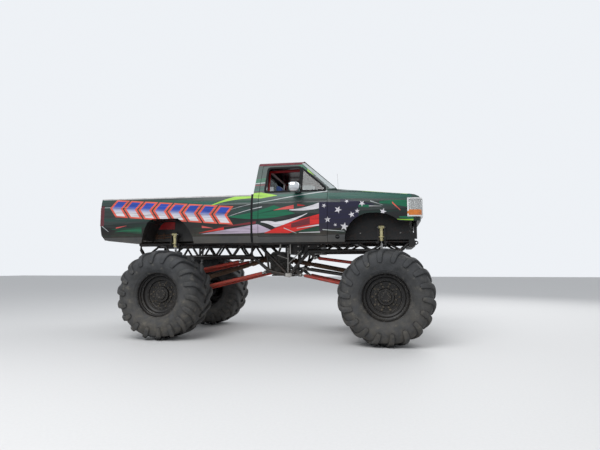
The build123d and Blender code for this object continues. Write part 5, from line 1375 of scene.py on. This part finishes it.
def make_arch_details():
    """Red panels and stained bars in the rear arches, pale rail lines that are a pinstripe with a painted
    highlight, and bright brackets at the elbows.
    """
    panels, bars, caps, bracket = Shape(), Shape(), Shape(), Shape()
    outline = rounded([(-1.900, 1.815), (-1.590, 1.815), (-1.590, 1.945), (-1.790, 1.948), (-1.858, 1.895)],
                      0.015, 4)
    panels.slab([(p.x, 0.5585, p.y) for p in outline], (0, 0.006, 0), 0.002)
    panels.hexes([(x, 0.5645, 1.835) for x in (-1.870, -1.745, -1.620)], (0, 1, 0), 0.006, 0.005)
    panels.mirrored().piece("arch_panels", "cage_red", material=PANEL_RED)
    for low, high in ((1.700, 1.722), (1.660, 1.672)):
        bars.tube([(-1.960, 0.570, low), (-1.640, 0.570, high)], 0.0125, 12)
    for x in (-1.930, -1.790, -1.660):
        bars.block((x - 0.012, 0.557, 1.640), (x + 0.012, 0.575, 1.745), 0.002)
    bars.mirrored().piece("arch_bars", "shaft_rust")
    # A pale tube along each bed rail's top: a pinstripe and a painted highlight of the rail's edge
    caps.tube([(-2.748, 0.9590, 2.3140), (-0.070, 0.9590, 2.3140)], 0.0075, 12)
    caps.mirrored().piece("bed_rail_lines_and_highlight", "body_paint", material=RAIL_LINE_AND_HIGHLIGHT)
    bracket.block((0.395, 0.476, 0.985), (0.500, 0.486, 1.045), 0.003)
    bracket.hexes([(0.415, 0.486, 1.000), (0.480, 0.486, 1.030)], (0, 1, 0), 0.009, 0.009)
    bracket.mirrored().piece("elbow_brackets", "shock_steel", material=BARE_STEEL)


make_arch_details()


def skin_y(x, z, side):
    """How far out the front fender's or cowl's skin is at a place on the truck's side."""
    found = []
    for node in ("front_fenders", "cowl", "cab_floor"):
        hit, place = frame["nodes"][node].ray_cast((x, side * 1.5, z), (0, -side, 0))[:2]
        if hit:
            found.append(abs(place.y))
    return max(found, default=0.93)


def make_small_fittings():
    """The tailgate's sill, the open holes in the rockers, and the steering's caps, tube and nuts."""
    sill = Shape()
    # The thin strip behind closes the gap, and both stay clear of the tailgate's swing
    for back, top, edge in ((-2.703, 1.641, 0.003), (-2.6885, 1.660, 0.002)):
        sill.block((back, -0.858, 1.604), (-2.682, 0.858, top), edge)
    sill.piece("tailgate_sill", "trim", material=RUBBER_TRIM)
    hole = Shape()
    for side in (1, -1):
        low, high = skin_y(1.329, 1.590, side), skin_y(1.329, 1.644, side)
        axis = (0, side * 0.054, low - high)
        hole.lathe([(-0.006, 0.0340), (0.0012, 0.0350), (0.0030, 0.0325), (0.0024, 0.0295),
                    (0.0018, 0.0005)], (1.329, side * (low + high) / 2, 1.617), axis, 32)
    hole.piece("rocker_holes", "trim", material=RUBBER_TRIM)
    rod = Shape()
    rod.lathe(both_ways([(-0.726, 0.010), (-0.724, 0.0210), (-0.640, 0.0210), (-0.638, 0.0240),
                         (-0.600, 0.0240), (-0.598, 0.0208)]), (TIE_ROD_X, 0, 0.742), (0, 1, 0), 24)
    rod.hexes([(TIE_ROD_X, y, 0.760) for y in (KINGPIN_Y, -KINGPIN_Y)], (0, 0, 1), 0.017, 0.014)
    rod.piece("tie_rod_tube", "chassis_black", "track_rod", smooth=30)
    for word, side in SIDES.items():
        caps = Shape()
        x, y = AXLES_X[0], side * KINGPIN_Y
        for way in (1, -1):
            face = AXLE_Z + way * 0.150
            caps.lathe([(-0.004, 0.062), (0.006, 0.060), (0.010, 0.052), (0.010, 0.0005)], (x, y, face),
                       (0, 0, way), 32)
            caps.hexes([(x + 0.074 * cos(a), y + 0.074 * sin(a), face)
                        for a in turns(6, 0.5)], (0, 0, way), 0.008, 0.008)
        caps.piece("kingpin_caps_" + word, "chassis_black", word + "_knuckle", DARK_STEEL, smooth=30)


make_small_fittings()


# Seats: padded cloth over a low base
SEAT_Y = 0.390
SEAT_HALF = 0.235
CUSHION_OUTLINE = [(0.395, 1.790), (0.780, 1.815), (0.798, 1.885), (0.780, 1.925), (0.440, 1.905),
                   (0.385, 1.850)]
BACK_OUTLINE = [(0.285, 1.880), (0.400, 1.895), (0.420, 1.960), (0.345, 2.500), (0.315, 2.535),
                (0.262, 2.540), (0.250, 2.500)]
VOXEL = 0.009
CLOTH_FRAMES, CLOTH_PRESSURE = 20, 4.0
CLOTH_CAP = 0.016


def pad_blank(name, outline, side):
    """A closed form with drawn-in sides, a little smaller than the finished pad."""
    blank = Shape()
    rows = []
    for share in (-1.0, -0.96, -0.85, -0.5, 0.0, 0.5, 0.85, 0.96, 1.0):
        draw = 0.016 * abs(share) ** 6
        ring = rounded(inset(outline, draw), 0.022, 4)
        rows.append([(p.x, side * SEAT_Y + share * SEAT_HALF, p.y) for p in ring])
    blank.skin(rows, closed=True, caps=True)
    mesh = blank.mesh(name)
    mesh.update()
    return placed(name, mesh)


def applied(thing):
    """The object's mesh with its modifiers worked out."""
    view = bpy.context.evaluated_depsgraph_get()
    return bpy.data.meshes.new_from_object(thing.evaluated_get(view))


def puffed(thing, voxel):
    """The blank remeshed, filled by the cloth simulation and smoothed, with no modifier left on it."""
    remesh = thing.modifiers.new("Remesh", "REMESH")
    remesh.mode = "VOXEL"
    remesh.voxel_size = voxel
    thing.data = applied(thing)
    thing.modifiers.clear()
    rest = [v.co.copy() for v in thing.data.vertices]
    cloth = thing.modifiers.new("Cloth", "CLOTH")
    cloth.settings.use_pressure = True
    cloth.settings.uniform_pressure_force = CLOTH_PRESSURE
    cloth.settings.effector_weights.gravity = 0.0
    for number in range(1, CLOTH_FRAMES + 1):
        bpy.context.scene.frame_set(number)
    filled = applied(thing)
    thing.modifiers.clear()
    bpy.context.scene.frame_set(1)
    for vertex, start in zip(filled.vertices, rest):
        move = vertex.co - start
        if move.length > CLOTH_CAP:
            vertex.co = start + move.normalized() * CLOTH_CAP
    thing.data = filled
    smooth = thing.modifiers.new("Subdivision", "SUBSURF")
    smooth.levels = 1
    thing.data = applied(thing)
    thing.modifiers.clear()
    thing.data.shade_smooth()
    thing.data.materials.clear()
    thing.data.materials.append(MATERIALS["seat_fabric"])
    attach(thing, "chassis")
    return thing


def seam(shape, pad, points, radius=0.0045):
    """Piping laid on a pad's surface."""
    laid = [pad.closest_point_on_mesh(Vector(p))[1] for p in points]
    shape.tube(laid, radius, 8, closed=True)


def make_seats():
    """Two seats, each a base, a cushion and a back, with piping."""
    base = Shape()
    piping = Shape()
    pads = []
    for word, side in SIDES.items():
        y = side * SEAT_Y
        base.block((0.335, y - 0.225, 1.640), (0.750, y + 0.225, 1.800), 0.012)
        for way in (1, -1):
            base.block((0.325, y + way * 0.200 - 0.014, 1.637), (0.790, y + way * 0.200 + 0.014, 1.656),
                       0.003)
        cushion = puffed(pad_blank("seat_cushion_" + word, CUSHION_OUTLINE, side), VOXEL)
        back = puffed(pad_blank("seat_back_" + word, BACK_OUTLINE, side), VOXEL)
        pads += [cushion, back]
        for pad, outline in ((cushion, CUSHION_OUTLINE), (back, BACK_OUTLINE)):
            ring = rounded(inset(outline, -0.012), 0.030, 6)
            for way in (1, -1):
                seam(piping, pad, [(p.x, y + way * (SEAT_HALF - 0.012), p.y) for p in ring])
    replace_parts(pads[0], "seats")
    base.piece("seat_bases", "trim")
    piping.piece("seat_piping", "seat_fabric", smooth=60)


make_seats()


# Engine: covers, air cleaner, pulleys and exhaust pipes
def make_engine():
    """The air cleaner, both rocker covers with their exhaust pipes, and the pulleys."""
    top = Shape()
    top.lathe([(0, 0.100), (0.012, 0.170), (0.016, 0.180), (0.046, 0.180), (0.052, 0.172), (0.056, 0.150),
               (0.058, 0.030), (0.064, 0.014)], (1.800, 0, 2.196), (0, 0, 1), 48, caps=True)
    top.piece("air_cleaner", "chrome")
    covers = Shape()
    covers.block((1.520, 0.170, 2.195), (2.080, 0.300, 2.236), 0.014)
    for i in range(9):
        x = 1.560 + i * 0.060
        covers.block((x - 0.005, 0.180, 2.232), (x + 0.005, 0.290, 2.243), 0.002)
    for i in range(4):
        x = 1.570 + i * 0.150
        covers.tube([(x, 0.300, 2.040), (x, 0.365, 2.040), (x - 0.010, 0.405, 2.015),
                     (x - 0.030, 0.425, 1.960), (x - 0.060, 0.430, 1.800), (x - 0.080, 0.420, 1.640)], 0.019,
                    14)
        covers.block((x - 0.035, 0.302, 2.005), (x + 0.035, 0.312, 2.075), 0.002)
    covers.mirrored().piece("engine_covers", "engine_iron")
    drive = Shape()
    for y, z, radius in ((0.0, 1.780, 0.095), (0.0, 2.000, 0.070), (0.200, 1.960, 0.048),
                         (-0.200, 1.930, 0.052)):
        drive.lathe([(0.0, 0.020), (0.020, 0.020), (0.020, radius), (0.026, radius - 0.008), (0.032, radius),
                     (0.034, radius * 0.8), (0.028, radius * 0.7), (0.030, 0.020), (0.036, 0.0005)],
                    (2.124, y, z), (1, 0, 0), 36)
    drive.piece("engine_pulleys", "engine_iron", material=BARE_STEEL)


make_engine()


# Packed nodes: smooth their round faces and give each its finish
def smoothing_nodes():
    """A modifier tree that welds a node's facets and shades shallow edges smooth."""
    tree = bpy.data.node_groups.new("Smooth shallow edges", "GeometryNodeTree")
    tree.interface.new_socket("Geometry", in_out="INPUT", socket_type="NodeSocketGeometry")
    tree.interface.new_socket("Geometry", in_out="OUTPUT", socket_type="NodeSocketGeometry")
    w = Wires(tree)
    source = w.node("NodeGroupInput").outputs[0]
    weld = w.node("GeometryNodeMergeByDistance", {"Geometry": source, "Distance": 0.00002}).outputs[0]
    faces = w.node("GeometryNodeSetShadeSmooth", {"Geometry": weld, "Shade Smooth": True},
                   domain="FACE").outputs[0]
    angle = w.node("GeometryNodeInputMeshEdgeAngle").outputs[0]
    steep = w.node("FunctionNodeCompare", {0: angle, 1: radians(31)}, data_type="FLOAT",
                   operation="GREATER_THAN").outputs[0]
    edges = w.node("GeometryNodeSetShadeSmooth",
                   {"Geometry": faces, "Selection": steep, "Shade Smooth": False}, domain="EDGE").outputs[0]
    w.feed(w.node("NodeGroupOutput").inputs[0], edges)
    return tree


SMOOTHING = smoothing_nodes()
NODE_SLOTS = {row["node"]: row["material_slot"] for row in frame["record"]["subparts"]}
for node, thing in frame["nodes"].items():
    thing.modifiers.new("Smoothing", "NODES").node_group = SMOOTHING
    for place in thing.material_slots:
        place.material = MATERIALS[NODE_SLOTS[node]]


# Stage, light and camera
CAMERA_PLACE, CAMERA_TURN, CAMERA_LENS = (2.05, -7.85, 1.117), (radians(95.65), 0, radians(10.8)), 26.7
LAMPS = [
    # name, place, size, power
    ("Key", (-1.5, -8.0, 9.0), 7.0, 900.0),
    ("Fill", (6.0, 7.0, 8.0), 8.0, 500.0),
]
LAMPS_AIM = (0, 0, 1.2)


def make_stage():
    """A pale floor."""
    floor = Shape()
    floor.skin([[(-60, -60, 0), (60, -60, 0)], [(-60, 60, 0), (60, 60, 0)]])
    mesh = floor.mesh("floor")
    thing = placed("floor", mesh)
    material, w, shader = new_material("Floor", Roughness=0.7)
    speckle = w.noise(w.place(), 40.0, 4.0)
    w.feed(shader["Base Color"], w.mix(speckle, (0.60, 0.60, 0.60), (0.66, 0.66, 0.66)))
    mesh.materials.append(material)


def make_light():
    """Soft overcast light: a pale sky and two large soft lamps."""
    world = bpy.data.worlds.new("Studio")
    bpy.context.scene.world = world
    world.use_nodes = True
    w = Wires(world.node_tree)
    background = world.node_tree.nodes["Background"]
    rays = w.node("ShaderNodeLightPath").outputs
    seen = w.math("MAXIMUM", rays["Is Camera Ray"], w.math("MAXIMUM", rays["Is Glossy Ray"],
                                                            rays["Is Transmission Ray"]))
    w.feed(background.inputs["Color"], (0.93, 0.96, 1.0))
    w.feed(background.inputs["Strength"], w.blend(seen, 0.62, 0.92))
    for name, place, size, power in LAMPS:
        lamp = bpy.data.lights.new(name, "AREA")
        lamp.size = size
        lamp.energy = power
        thing = placed(name, lamp)
        thing.location = place
        thing.rotation_euler = (Vector(LAMPS_AIM) - Vector(place)).to_track_quat("-Z", "Y").to_euler()


def make_camera():
    """The photograph's view: low, from the truck's right, a little ahead of its middle."""
    camera = bpy.data.cameras.new("Camera")
    camera.lens, camera.sensor_width = CAMERA_LENS, 36.0
    thing = placed("Camera", camera)
    thing.location = CAMERA_PLACE
    thing.rotation_euler = CAMERA_TURN
    bpy.context.scene.camera = thing


make_stage()
make_light()
make_camera()
bpy.context.scene.view_settings.view_transform = "Standard"
